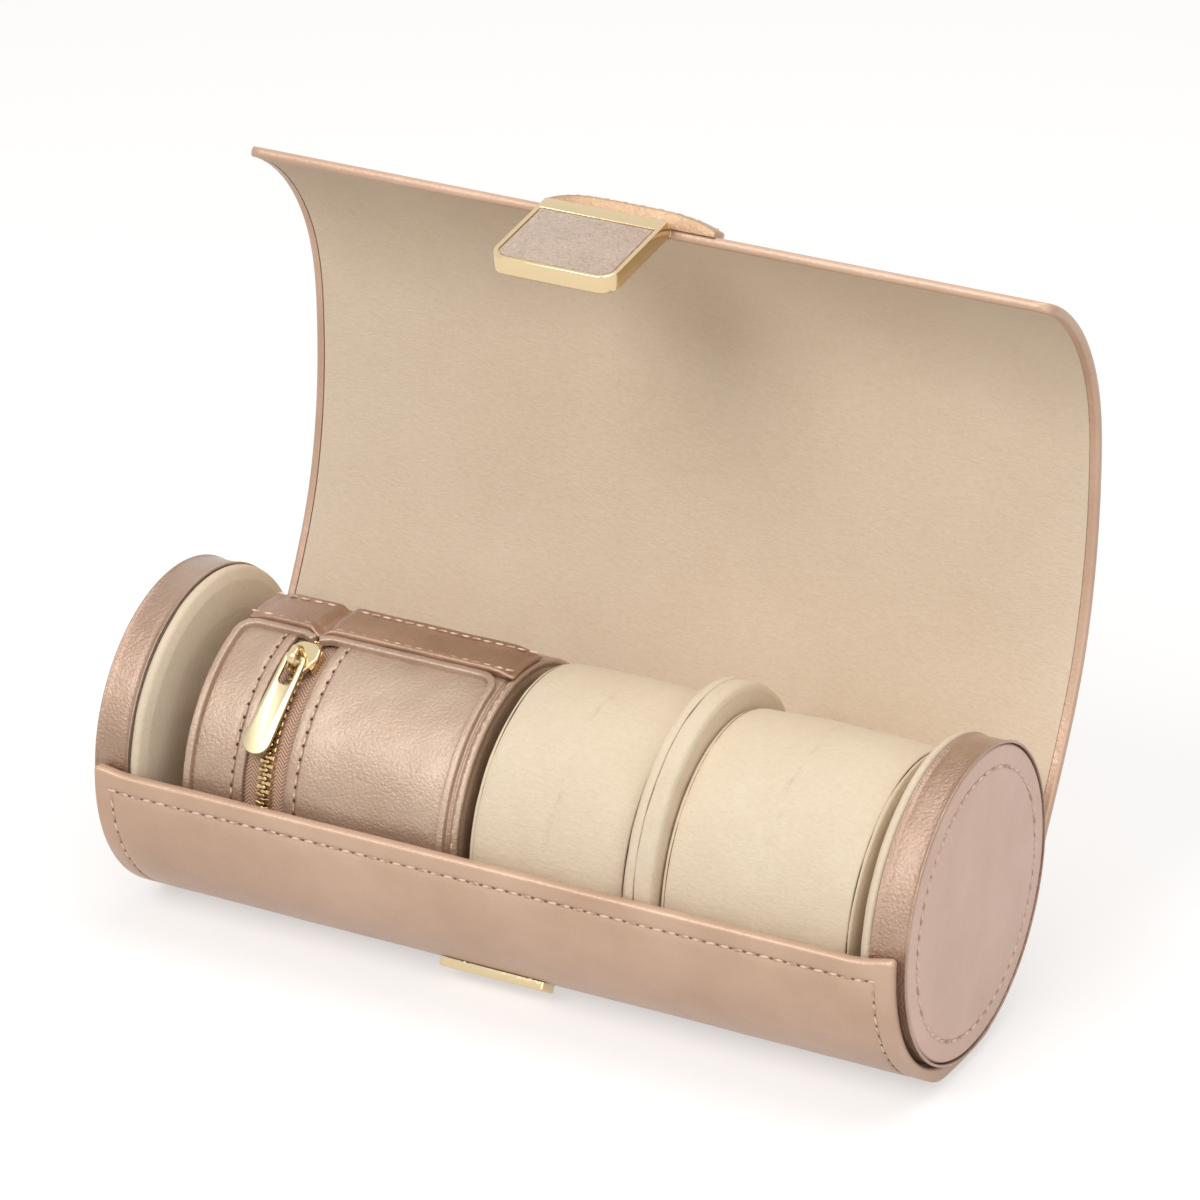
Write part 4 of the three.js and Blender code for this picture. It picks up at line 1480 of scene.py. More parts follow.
def dense(profile: Sequence[Pair], step: float) -> list[Pair]:
    """Divides the long edges of a profile.

    Args:
        profile: points.
        step: the longest edge that may stay.

    Returns:
        The profile with the points added.
    """
    points = [profile[0]]
    for near, far in zip(profile, profile[1:]):
        count = max(1, math.ceil(math.dist(near, far) / step))
        for index in range(1, count + 1):
            share = index / count
            points.append(
                (near[0] + (far[0] - near[0]) * share, near[1] + (far[1] - near[1]) * share)
            )
    return points


def carve(piece: Piece, cutter: Piece) -> None:
    """Cuts one closed piece out of another and removes the cutter.

    Args:
        piece: object that is cut.
        cutter: object that is taken away.
    """
    pick(piece)
    cut = piece.modifiers.new("carve", "BOOLEAN")
    cut.object = cutter
    cut.operation = "DIFFERENCE"
    cut.solver = "EXACT"
    bpy.ops.object.modifier_apply(modifier=cut.name)
    bpy.data.objects.remove(cutter)


def split_along(whole: Piece, name: str, start: float | None, end: float | None) -> Piece:
    """Copies the part of a flat piece between two places along it, with closed ends.

    Args:
        whole: flat piece to copy from.
        name: name of the copy.
        start: place of the first cut in millimetres, or None for no cut.
        end: place of the second cut, or None.

    Returns:
        The copy.
    """
    part = duplicate(whole)
    part.name = name
    part.data.name = name
    for place, keeps_far in ((start, True), (end, False)):
        if place is None:
            continue
        with editing(part, everything=True):
            bpy.ops.mesh.bisect(
                plane_co=(0, place * MM, 0), plane_no=(0, 1, 0), use_fill=True,
                clear_inner=keeps_far, clear_outer=not keeps_far, threshold=WELD,
            )
    return part


def reshape(piece: Piece, change: Callable[[np.ndarray], np.ndarray]) -> Piece:
    """Moves the vertices of a piece by a rule on their places."""
    write_points(piece, change(read_points(piece)))
    return piece


def valley(distance: np.ndarray, depth: float, width: float) -> np.ndarray:
    """Depth of the hollow that a row of stitches pulls into leather."""
    return depth * np.exp(-((distance / width) ** 2))


def beside(place: float) -> list[float]:
    """Grid lines on and beside a seam, close enough to carry its groove."""
    return [place + side for side in (-0.7, -0.35, 0, 0.35, 0.7)]


def rim_lines(edge: float, border: float, inset: float) -> list[float]:
    """Grid lines at a rolled rim.

    Args:
        edge: place of the rim.
        border: distance from the rim to the recess behind it.
        inset: distance from the rim to its seam.

    Returns:
        Rising places.
    """
    return lines([edge, edge - 1.1, edge - border, edge - 3.1], beside(edge - inset))


def width_lines(half: float, border: float, inset: float, middle: float) -> list[float]:
    """Grid lines across a sheet with a rolled rim on each side.

    Args:
        half: half its width.
        border: distance from a rim to the recess behind it.
        inset: distance from a rim to its seam.
        middle: half the width of the evenly divided middle.

    Returns:
        Rising places.
    """
    right = rim_lines(half, border, inset)
    return lines([-place for place in right], right, spaced(-middle, middle, 4.0))


@dataclass(frozen=True)
class Groove:
    """The hollow that a seam round three sides pulls into a flat sheet of leather.

    Args:
        top: height of the sheet's upper face.
        across: distance of the two side seams from the middle.
        along: place of the seam that joins them.
        onward: 1 where the side seams go on from that place, -1 where they come to it.
        depth: depth of the hollow.
        width: half its width.
    """

    top: float
    across: float
    along: float
    onward: int
    depth: float
    width: float

    def press(self, points: np.ndarray) -> np.ndarray:
        """Sinks the points of the upper face that lie near the seam.

        Args:
            points: (across, along, height) rows.

        Returns:
            The same rows, changed.
        """
        past = self.onward * (points[:, 1] - self.along)
        side = valley(np.abs(points[:, 0]) - self.across, self.depth, self.width)
        side = np.where(past > 0, side, 0)
        front = valley(points[:, 1] - self.along, self.depth, self.width)
        front = np.where(np.abs(points[:, 0]) < self.across, front, 0)
        on_top = points[:, 2] > self.top - 0.02
        points[:, 2] -= np.where(on_top, np.maximum(side, front), 0)
        return points


@dataclass(frozen=True)
class Wrap:
    """The stiff half-cylinder of foiled leather with its suede lining and edge stitching."""

    surface: WrapSurface = WrapSurface()
    half: float = HALF_LENGTH
    end: float = 111.9  # arc length from the front edge to where the flap begins
    border: float = RIM_BORDER
    inner: float = WRAP_INNER
    outer: float = WRAP_OUTER
    seam_inset: float = 4.6
    pitch: float = STITCH_PITCH

    def build(self) -> None:
        """Builds the cover, its lining and its seams."""
        self.cover()
        self.lining()
        self.seams()

    def cover(self) -> None:
        """A slab with rounded rims and a recess for the lining, laid round the roll."""
        across = width_lines(self.half, self.border, self.seam_inset, self.half - 6.5)
        along = lines(
            [0, 1.1, self.border, 3.1], beside(self.seam_inset), spaced(6.4, self.end - 0.4, 1.8),
            [self.end],
        )
        piece = slab("wrap_leather", across, along, self.inner, self.outer)
        inside = self.half - self.border
        raise_faces(
            piece, lambda middle, normal: normal.z < -0.5
            and abs(middle.x) < inside
            and self.border < middle.y < self.end - 0.4, (0, 0, 0.8),
        )
        soften(
            piece, 1.0, 4, lambda middle: middle.y < 0.1
            or (abs(middle.x) > self.half - 0.1 and middle.y < self.end - 0.1),
        )
        seam = self.half - self.seam_inset
        groove = Groove(self.outer, seam, self.seam_inset, 1, 0.42, 0.55)
        reshape(piece, groove.press)
        self.surface.carry(piece)
        ripple(piece, 0.22, 38)
        smooth(piece)
        dress(piece, WRAP_LEATHER, "wrap", ["shell_cover", "shell_board"])

    def lining(self) -> None:
        """A thin suede sheet that fills the recess, with a rolled edge."""
        inside = self.half - self.border - LINING_GAP
        across = lines(
            [-inside, -inside + 0.5, inside - 0.5, inside], spaced(-inside + 2, inside - 2, 4.0)
        )
        start = self.border + LINING_GAP
        along = lines([start, start + 0.5], spaced(start + 2, self.end, 1.8))
        piece = slab("wrap_suede", across, along, self.inner - 0.06, self.inner + 0.74)
        soften(piece, 0.35, 2, lambda middle: middle.z < self.inner and middle.y < self.end - 0.1)
        self.surface.carry(piece)
        smooth(piece)
        dress(piece, LINING_SUEDE, "wrap", ["shell_lining"])

    def seams(self) -> None:
        """Stitches under the front edge and down both ends."""
        reach = self.half - self.seam_inset
        height = self.outer - 0.3
        front = [(x, self.seam_inset, height) for x in spaced(-reach, reach, self.pitch)]
        sides = [
            (side * reach, s, height)
            for side in (-1, 1)
            for s in spaced(self.seam_inset + self.pitch, self.end - 3, self.pitch)
        ]
        rows = [
            Seam("wrap_front_stitches", self.surface, Run.ACROSS, front, 2.5, 0.75),
            Seam("wrap_end_stitches", self.surface, Run.ALONG, sides, 2.5, 0.75),
        ]
        for row in rows:
            row.sew("wrap")
            # The dark spots between the stitches are painted shade in the needle holes.
            hole_shade_spots(row, self.pitch / 2).sew("wrap", HOLE_SHADE)


@dataclass(frozen=True)
class Flap:
    """The long flap: leather outside, suede inside, cut between the bends of its CAD strips."""

    surface: FlapSurface = field(default_factory=FlapSurface)
    half: float = HALF_LENGTH
    border: float = RIM_BORDER
    thickness: float = 2.4
    lining_height: float = 0.78
    corner: float = 4.2
    seam_inset: float = 5.0
    pitch: float = STITCH_PITCH
    strips: int = 7

    @property
    def start(self) -> float:
        """Place along the flap where its leather begins, on the wrap."""
        return -self.surface.overlap

    @property
    def end(self) -> float:
        """Place of its free edge."""
        return self.surface.free_edge

    @property
    def cuts(self) -> list[float]:
        """Places of the cuts, at the middle of each strip."""
        return [self.surface.pitch * (k + 0.5) for k in range(self.strips)]

    def build(self) -> None:
        """Builds leather, lining and seams, each in pieces cut at the middle of the strips."""
        self.lay_in_pieces(self.leather(), "flap_leather", WRAP_LEATHER)
        self.lay_in_pieces(self.lining(), "flap_suede", LINING_SUEDE)
        self.seams()

    def rounded_corners(self, points: np.ndarray) -> np.ndarray:
        """Rounds the two free corners of a flat pattern.

        Args:
            points: (across, along, height) rows of the flat pattern.

        Returns:
            The same rows, changed.
        """
        size = self.corner
        u = np.clip((np.abs(points[:, 0]) - (self.half - size)) / size, 0, 1)
        v = np.clip((points[:, 1] - (self.end - size)) / size, 0, 1)
        bent = (u > 0) & (v > 0)
        new_u = u * np.sqrt(1 - v * v / 2)
        new_v = v * np.sqrt(1 - u * u / 2)
        across = np.sign(points[:, 0]) * (self.half - size + new_u * size)
        points[:, 0] = np.where(bent, across, points[:, 0])
        points[:, 1] = np.where(bent, self.end - size + new_v * size, points[:, 1])
        return points

    def along_lines(self, start: float, end: float) -> list[float]:
        """Grid lines along the flap, close on both sides of each cut.

        Args:
            start: place of the first line.
            end: place of the free edge's rim.

        Returns:
            Rising places.
        """
        beside = [cut + side for cut in self.cuts for side in (-0.12, 0.0, 0.12)]
        runs = []
        stops = [start + 0.4, *self.cuts, end - 6.6]
        for near, far in zip(stops, stops[1:]):
            runs.append(spaced(near + 1.0, far - 1.0, 1.6))
        return lines(beside, [start, start + 0.4], *runs)

    def leather(self) -> Piece:
        """The whole cover, flat, with rolled rims and a recess for the lining.

        Returns:
            The cover, before it is cut and laid.
        """
        edge = self.half
        tail = self.end
        across = width_lines(edge, self.border, self.seam_inset, edge - 6.8)
        along = lines(
            self.along_lines(self.start, tail), rim_lines(tail, self.border, self.seam_inset)
        )
        piece = slab("flap_leather_flat", across, along, 0, self.thickness)
        inside = edge - self.border
        raise_faces(
            piece, lambda middle, normal: normal.z < -0.5
            and abs(middle.x) < inside
            and self.start + 0.4 < middle.y < tail - self.border, (0, 0, 0.72),
        )
        soften(
            piece, 1.0, 4, lambda middle: middle.y > tail - 0.1
            or (abs(middle.x) > edge - 0.1 and middle.y > self.start + 0.1),
        )
        inset = self.seam_inset
        groove = Groove(self.thickness, edge - inset, tail - inset, -1, 0.25, 0.5)
        return reshape(piece, lambda points: self.rounded_corners(groove.press(points)))

    def lining(self) -> Piece:
        """The whole lining, flat, with a rolled edge.

        Returns:
            The lining, before it is cut and laid.
        """
        inside = self.half - self.border - LINING_GAP
        tail = self.end - self.border - LINING_GAP
        across = lines(
            [-inside, -inside + 0.5, inside - 0.5, inside], spaced(-inside + 2, inside - 2, 4.0)
        )
        along = lines(self.along_lines(self.start, self.end - 4), [tail, tail - 0.5, tail - 2.0])
        piece = slab("flap_suede_flat", across, along, 0.02, self.lining_height - 0.08)
        soften(piece, 0.35, 2, lambda middle: middle.z < 0.1 and middle.y > self.start + 0.1)
        return reshape(piece, self.rounded_corners)

    def blended(self, piece: Piece, index: int) -> None:
        """Attaches the last piece to its strip's body; any other piece only gets its transform
        baked, and the places on both sides of its bend are worked out but not used.

        Args:
            piece: finished piece between two cuts.
            index: number of the bend, 0 at the wrap; the last piece has none.
        """
        if index == self.strips:
            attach(piece, f"flap_{index}")
            return
        middle = self.surface.pitch * index
        reach = 5.0 if index == 0 else 9.0
        start = self.surface.point(middle - reach)
        end = self.surface.point(middle + reach)
        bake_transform(piece)

    def lay_in_pieces(self, whole: Piece, stem: str, finish: Finish) -> None:
        """Cuts a flat whole at the middle of each strip and lays the pieces on the flap.

        Args:
            whole: flat piece, which is removed in the end.
            stem: start of the names of the pieces.
            finish: finish of the pieces.
        """
        node = {"flap_leather": "flap_cover", "flap_suede": "flap_lining"}[stem]
        stops = [None, *self.cuts, None]
        for index, (start, end) in enumerate(zip(stops, stops[1:])):
            piece = split_along(whole, f"{stem}_{index}", start, end)
            self.surface.carry(piece)
            smooth(piece)
            stands_for = [f"{node}_{index + 1}"] if index < self.strips else []
            dress(piece, finish, None, stands_for)
            self.blended(piece, index)
        bpy.data.objects.remove(whole)

    def seams(self) -> None:
        """Stitches round the flap's outer side, in the same pieces as the leather."""
        reach = self.half - self.seam_inset
        last = self.end - self.seam_inset
        height = self.thickness - 0.16
        stops = [4.0, *self.cuts, last - 1.5]
        for index, (start, end) in enumerate(zip(stops, stops[1:])):
            places = [
                (side * reach, s, height)
                for side in (-1, 1)
                for s in spaced(start + self.pitch / 2, end - self.pitch / 2, self.pitch)
            ]
            row = Seam(f"flap_side_stitches_{index}", self.surface, Run.ALONG, places).sew()
            self.blended(row, index)
        edge = [(x, last, height) for x in spaced(-reach, reach, self.pitch)]
        Seam("flap_edge_stitches", self.surface, Run.ACROSS, edge).sew(f"flap_{self.strips}")


@dataclass(frozen=True)
class RoundEnd:
    """One round end: a leather band, a stitched outer disc and a padded suede disc inside."""

    side: int
    name: str
    stitch_radius: float = 31.2
    pitch: float = 3.5

    def mirrored(self, profile: Sequence[tuple[float, float, float]]) -> list:
        """The profile on this end's side of the roll."""
        return [(self.side * x, r, bend) for x, r, bend in profile]

    def build(self) -> None:
        """Builds the band, the two discs and the circle of stitches."""
        band = fillet(
            self.mirrored(
                [
                    (94.35, 36.5, 0.15), (94.3, 37.35, 0.4), (95.0, 36.85, 0.35),
                    (95.7, 36.6, 0.4), (97.0, 36.75, 0.6), (101.4, 36.75, 0.6),
                    (102.3, 36.85, 0.4), (103.15, 37.3, 0.4), (103.3, 36.5, 0.2),
                ]
            ),
            closed=True, steps=4,
        )
        piece = turn(f"{self.name}_band_leather", band, AXIS_HEIGHT, closed=True)
        smooth(piece, ROUNDED)
        dress(piece, BAND_LEATHER, "wrap", [f"{self.name}_band"])
        self.outer_disc()
        self.inner_disc()

    def outer_disc(self) -> None:
        """The stitched leather disc on the outside, a little domed."""
        profile = fillet(
            self.mirrored(
                [
                    (101.6, 0, 0), (101.6, 36.1, 0.2), (102.4, 36.3, 0.4), (103.05, 35.8, 0.6),
                    (103.1, 33.0, 1.0), (103.16, 31.9, 0.4), (102.9, self.stitch_radius, 0.3),
                    (103.2, 30.5, 0.4), (103.4, 20, 4), (103.45, 0, 0),
                ]
            )
        )
        piece = turn(f"{self.name}_disc_leather", dense(profile, 4), AXIS_HEIGHT)
        ripple(piece, 0.12, 24)
        smooth(piece, ROUNDED)
        dress(piece, DISC_LEATHER, "wrap", [f"{self.name}_outer_disc"])
        face = EndFace(self.side, self.stitch_radius, 103.1)
        count = round(math.tau * self.stitch_radius / self.pitch)
        places = [
            (math.tau * self.stitch_radius * i / count, self.stitch_radius, 0)
            for i in range(count)
        ]
        Seam(f"{self.name}_disc_stitches", face, Run.ACROSS, places, 2.9, 0.8).sew("wrap")

    def inner_disc(self) -> None:
        """The padded suede disc on the inside, with a soft rounded rim."""
        profile = fillet(
            self.mirrored(
                [
                    (89.2, 0, 0), (89.4, 14, 5), (90.0, 27, 6), (90.9, 33.8, 3), (92.0, 36.4, 1.6),
                    (93.2, 36.9, 0.9), (94.12, 36.3, 0.5), (94.12, 0, 0),
                ]
            )
        )
        piece = turn(f"{self.name}_disc_suede", dense(profile, 4), AXIS_HEIGHT)
        ripple(piece, 0.3, 21, 7.0 * self.side)
        smooth(piece, ROUNDED)
        dress(piece, CREAM_SUEDE, "wrap", [f"{self.name}_inner_disc"])


@dataclass(frozen=True)
class WatchCushion:
    """A round watch cushion: a foam core in suede, with a sewn-on disc at each end."""

    name: str
    left: float
    right: float
    radius: float = 34.6
    crown: float = 0.8
    seam_inset: float = 1.3
    pressure: float = 4.0
    bulge: float = 0.9  # the most that the simulation may move the suede

    def profile(self) -> list[Pair]:
        """Outline of half the cushion's section, along the whole axis.

        Returns:
            (across, radius) points.
        """
        edge = self.radius - self.crown
        half: list[tuple[float, float, float]] = [
            (0.25, 0, 0), (0.0, 16, 5), (0.05, edge - 1.9, 1.2), (0.55, edge - 0.2, 0.6),
            (self.seam_inset - 0.25, edge + 0.05, 0.2), (self.seam_inset, edge - 0.42, 0.12),
            (self.seam_inset + 0.25, edge + 0.12, 0.2), (2.6, edge + 0.35, 0.8),
        ]
        left = [(self.left + x, r, bend) for x, r, bend in half]
        right = [(self.right - x, r, bend) for x, r, bend in reversed(half)]
        length = self.right - self.left
        middle = [
            (self.left + length * t, self.radius - self.crown * (2 * t - 1) ** 4, 6)
            for t in (0.18, 0.34, 0.5, 0.66, 0.82)
        ]
        return dense(fillet(left + middle + right, steps=3), 2.4)

    def build(self) -> None:
        """Builds the cushion, swells it, and adds the painted shade of its end seams."""
        piece = turn(f"{self.name}_suede", self.profile(), CUSHION_HEIGHT, steps=112)
        self.swell(piece)
        ripple(piece, 0.5, 33, self.left)
        ripple(piece, 0.12, 9, self.right)
        smooth(piece, ROUNDED)
        nodes = [f"{self.name}_{part}" for part in ("cover", "left_end", "right_end", "foam")]
        dress(piece, CREAM_SUEDE, self.name, nodes)
        for label, x in (("left", self.left), ("right", self.right)):
            inward = self.seam_inset if label == "left" else -self.seam_inset
            self.end_seam_shade(f"{self.name}_{label}_seam", x + inward)

    def end_seam_shade(self, name: str, x: float) -> None:
        """A dark ring sunk in the groove beside an end disc: painted shade of the seam.

        Args:
            name: name of the piece.
            x: place of the groove across the roll.
        """
        radius = self.radius - self.crown - 0.22
        profile = fillet(
            [
                (x - 0.14, radius - 0.2, 0.05), (x - 0.14, radius + 0.08, 0.1),
                (x + 0.14, radius + 0.08, 0.1), (x + 0.14, radius - 0.2, 0.05),
            ],
            closed=True, steps=2,
        )
        piece = turn(name, profile, CUSHION_HEIGHT, closed=True, steps=96)
        smooth(piece, ROUNDED)
        dress(piece, SEAM_SHADOW, self.name)

    def swell(self, piece: Piece) -> None:
        """Lets the suede swell under the foam's pressure, held at its sewn seams.

        Args:
            piece: turned cover with its final number of vertices.
        """
        before = read_points(piece)
        reach = np.hypot(before[:, 1], before[:, 2] - CUSHION_HEIGHT)
        seams = np.minimum(
            np.abs(before[:, 0] - self.left - self.seam_inset),
            np.abs(before[:, 0] - self.right + self.seam_inset),
        )
        held = np.where((seams < 0.6) | (reach < 12), 1.0, 0.0)
        group = piece.vertex_groups.new(name="sewn")
        for index in np.nonzero(held > 0)[0]:
            group.add([int(index)], 1.0, "REPLACE")
        pick(piece)
        cloth = piece.modifiers.new("swell", "CLOTH")
        cloth.settings.vertex_group_mass = "sewn"
        cloth.settings.use_pressure = True
        cloth.settings.uniform_pressure_force = self.pressure
        cloth.settings.effector_weights.gravity = 0
        cloth.settings.quality = 5
        cloth.settings.tension_stiffness = 30
        cloth.settings.compression_stiffness = 30
        cloth.settings.bending_stiffness = 8
        scene = bpy.context.scene
        for frame_number in range(1, 15):
            scene.frame_set(frame_number)
        bpy.ops.object.modifier_apply(modifier=cloth.name)
        scene.frame_set(1)
        piece.vertex_groups.clear()
        moved = read_points(piece) - before
        length = np.linalg.norm(moved, axis=1)
        share = np.minimum(1, self.bulge / np.maximum(length, 1e-6))
        write_points(piece, before + moved * share[:, None])


@dataclass(frozen=True)
class Divider:
    """Two padded suede discs sewn back to back between the cushions."""

    seam: float = 36.38

    def build(self) -> None:
        """Builds both discs; their rounded rims meet in the seam."""
        narrow = fillet(
            [
                (33.75, 0, 0), (33.6, 24, 6), (33.65, 35.4, 0.9), (34.1, 36.85, 1.1),
                (35.5, 37.15, 1.0), (self.seam - 0.05, 36.8, 0.3), (self.seam, 0, 0),
            ]
        )
        wide = fillet(
            [
                (self.seam, 0, 0), (self.seam + 0.05, 36.8, 0.3), (37.1, 36.9, 0.7),
                (38.8, 37.0, 1.6), (40.5, 36.6, 1.2), (41.0, 35.4, 1.2), (41.1, 24, 6),
                (40.8, 0, 0),
            ]
        )
        for name, profile, node in (
            ("divider_narrow_suede", narrow, "divider_narrow_disc"),
            ("divider_wide_suede", wide, "divider_wide_disc"),
        ):
            piece = turn(name, dense(profile, 3), AXIS_HEIGHT, steps=144)
            ripple(piece, 0.45, 17, len(name))
            smooth(piece, ROUNDED)
            dress(piece, CREAM_SUEDE, "wrap", [node])


@dataclass(frozen=True)
class ZipPouch:
    """The round zipped pouch: two leather cups, piping, a spine, woven tape and metal teeth."""

    height: float = POUCH_HEIGHT
    left: float = -80.8
    right: float = -9.6
    zip_middle: float = -60.3
    edge_left: float = -65.8
    edge_right: float = -54.8
    radius: float = 34.4
    wall: float = 1.2
    piping: float = 0.95
    seam_inset: float = 2.8
    pitch: float = 3.2
    spine_front: float = 79.5  # degrees round the pouch from the front horizontal
    spine_back: float = 103.5
    tooth_pitch: float = 2.0

    def build(self) -> None:
        """Builds the two cups, then the spine and the zip."""
        self.cup("pouch_base", self.edge_right, self.right, -1)
        self.cup("pouch_lid", self.edge_left, self.left, 1)
        self.spine()
        self.tape("zip_tape_left", self.edge_left - 4, self.zip_middle - 0.25)
        self.tape("zip_tape_right", self.zip_middle + 0.25, self.edge_right + 4)
        self.teeth("zip_teeth_left", -1)
        self.teeth("zip_teeth_right", 1)

    def cup(self, name: str, edge: float, end: float, toward: int) -> None:
        """One cup of the pouch with its folded zip edge, piping, stitches and lining.

        Args:
            name: stem of the piece names, as in the CAD part.
            edge: place of the folded edge beside the zip.
            end: place of the closed end.
            toward: sign of the direction from the closed end to the zip.
        """
        full = self.radius
        inner = full - self.wall
        seam = edge - toward * self.seam_inset
        bound = toward < 0
        rim = [
            (4.9, full + 0.05, 0.5), (2.8, full - 0.1, 0.4), (2.35, full - 0.75, 0.25),
            (1.9, full - 0.3, 0.3), (1.2, full - 0.05, 0.5), (0.5, full - 0.5, 0.5),
        ]
        if not bound:
            rim = [(2.4, full, 0.6), (1.2, full - 0.15, 0.5), (0.5, full - 0.7, 0.4)]
        out = [
            (end + toward * 1.5, 0, 0), (end + toward * 1.5, inner - 0.2, 0.3),
            (edge - toward * 0.5, inner, 0.2), (edge + toward * 0.05, inner + 0.15, 0.25),
            (edge + toward * 0.05, full - 0.05, 0.5), (edge - toward * 1.2, full + 0.08, 0.5),
            (seam + toward * 0.75, full + 0.08, 0.3), (seam, full - 0.34, 0.3),
            (seam - toward * 0.75, full + 0.06, 0.3), (seam - toward * 2.5, full + 0.08, 1.0),
            *[(end + toward * x, r, bend) for x, r, bend in rim], (end + toward * 0.35, 33.0, 0.3),
            (end + toward * 0.5, 32.3, 0.4), (end + toward * 0.15, 31.2, 0.8),
            (end + toward * 0.1, 0, 0),
        ]
        piece = turn(f"{name}_leather", dense(fillet(out, steps=4), 2.0), self.height, steps=144)
        ripple(piece, 0.36, 16, edge)
        ripple(piece, 0.14, 5.5, end)
        smooth(piece, ROUNDED)
        dress(piece, POUCH_LEATHER, "pouch", [f"{name}_shell"])

        rest()
        bpy.ops.mesh.primitive_torus_add(
            major_radius=33.5 * MM, minor_radius=self.piping * MM, major_segments=128,
            minor_segments=14,
        )
        cord = named(f"{name}_piping_leather")
        with editing(cord, everything=True):
            bpy.ops.transform.rotate(value=math.pi / 2, orient_axis="Y", center_override=(0, 0, 0))
            bpy.ops.transform.translate(value=((end + toward * 1.1) * MM, 0, self.height * MM))
        outward(cord)
        smooth(cord, ROUNDED)
        dress(cord, POUCH_LEATHER, "pouch", [f"{name}_piping"])

        lining = fillet(
            [
                (end + toward * 1.8, 0, 0), (end + toward * 1.8, 30.7, 0.5),
                (edge - toward * 4.6, 30.7, 0.2), (edge - toward * 4.6, 30.1, 0.2),
                (end + toward * 2.4, 30.1, 0.5), (end + toward * 2.4, 0, 0),
            ]
        )
        inside = turn(f"{name}_lining_suede", dense(lining, 6), self.height, steps=72)
        smooth(inside, ROUNDED)
        dress(inside, CREAM_SUEDE, "pouch", [f"{name}_lining"])

        skin = Barrel(self.height, full)
        arc = self.arc_places(full)
        places = [(seam, s, -0.16) for s in arc]
        Seam(f"{name}_stitches", skin, Run.ALONG, places, 2.0, 0.55, 0).sew("pouch")
        # The dark spots between the stitches are painted shade in the needle holes.
        half_step = (arc[1] - arc[0]) / 2
        places = [(seam, s + half_step, -0.2) for s in arc[:-1]]
        holes = Seam(f"{name}_stitch_holes", skin, Run.ALONG, places, 0.85, 0.75, 0)
        holes.sew("pouch", SEAM_SHADOW)
        self.rim(f"{name}_rim_leather", end, toward)
        if not bound:
            return
        places = [(end + toward * 1.3, s, 0.0) for s in arc]
        skin = Barrel(self.height, full - 0.1)
        Seam(f"{name}_binding_stitches", skin, Run.ALONG, places, 2.1, 0.6, 0).sew("pouch")

    def rim(self, name: str, end: float, toward: int) -> None:
        """A rolled rim up one end of the pouch, round a corner and along the spine's front.

        Args:
            name: name of the piece.
            end: place of the closed end of this cup.
            toward: sign of the direction from the closed end to the zip.
        """
        inset = 1.05 if toward > 0 else 4.0
        side = end + toward * inset
        front = self.radius * math.radians(self.spine_front) - 0.2
        low = self.radius * math.radians(-12)
        path = dense(
            fillet(
                [
                    (side, low, 0), (side, front, 4.2),
                    (self.zip_middle - toward * 3.4, front, 3.0),
                    (self.zip_middle - toward * 0.7, front - 1.3, 0),
                ],
                steps=8,
            ),
            0.8,
        )
        trail = Trail(Barrel(self.height, self.radius), tuple(path))
        length = float(trail.distances()[-1])
        wide = 0.95
        across = lines(spaced(-wide, wide, 0.45))
        cord = slab(name, across, lines(spaced(0, length, 0.8)), -0.3, 1.45)
        soften(cord, 0.8, 4, lambda middle: middle.z > 1.4)
        trail.carry(cord)
        ripple(cord, 0.1, 7, end)
        smooth(cord, ROUNDED)
        dress(cord, POUCH_LEATHER, "pouch")

    def arc_places(self, radius: float) -> list[float]:
        """Places of stitches from the spine's front edge round the pouch.

        Args:
            radius: radius that the arc lengths are measured on.

        Returns:
            Arc lengths in millimetres.
        """
        front = radius * math.radians(self.spine_front - 1.5)
        back = radius * math.radians(self.spine_back + 1.5 - 360)
        return spaced(front, back, self.pitch)

    def spine(self) -> None:
        """The raised leather spine with rolled rims, pinched where it folds."""
        surface = Barrel(self.height, 34.6)
        first = surface.radius * math.radians(self.spine_front) + 0.75
        last = surface.radius * math.radians(self.spine_back)
        left = self.left + 0.9
        right = self.right - 0.5
        across = lines(
            [left, left + 0.6, left + 1.3, left + 2.4], spaced(left + 4, self.zip_middle - 4, 2.5),
            spaced(self.zip_middle - 4, self.zip_middle + 4, 0.5),
            spaced(self.zip_middle + 4, right - 4, 2.5),
            [right - 2.4, right - 1.3, right - 0.6, right],
        )
        along = lines(
            [first, first + 0.7, first + 1.5, first + 2.3, first + 3.2],
            spaced(first + 4.5, last - 4.5, 1.2),
            [last - 3.2, last - 2.3, last - 1.5, last - 0.7, last],
        )
        piece = slab("pouch_spine_leather", across, along, 0.0, 2.2)
        soften(piece, 0.65, 4)
        width = last - first

        def pinch(points: np.ndarray) -> np.ndarray:
            """Dishes the spine behind its rim and folds it over the zip.

            Args:
                points: (across, along, height) rows of the flat pattern.

            Returns:
                The same rows, changed.
            """
            from_rim = np.minimum(
                np.minimum(points[:, 1] - first, last - points[:, 1]),
                np.minimum(points[:, 0] - left, right - points[:, 0]),
            )
            top = points[:, 2] > 0.9
            dip = 0.55 * smooth_step(from_rim, 0.9, 2.0) - 0.2 * smooth_step(from_rim, 2.4, 5.0)
            fold = np.exp(-(((points[:, 0] - self.zip_middle) / 1.5) ** 2))
            ends = np.minimum(points[:, 0] - left, right - points[:, 0])
            taper = 1.3 * (1 - smooth_step(ends, 0.0, 6.0))
            points[:, 2] -= np.where(top, dip + 1.35 * fold + taper, 0)
            share = 1 - (points[:, 1] - first) / width
            points[:, 1] -= 1.3 * np.exp(-(((points[:, 0] - self.zip_middle) / 2.4) ** 2)) * share
            return points

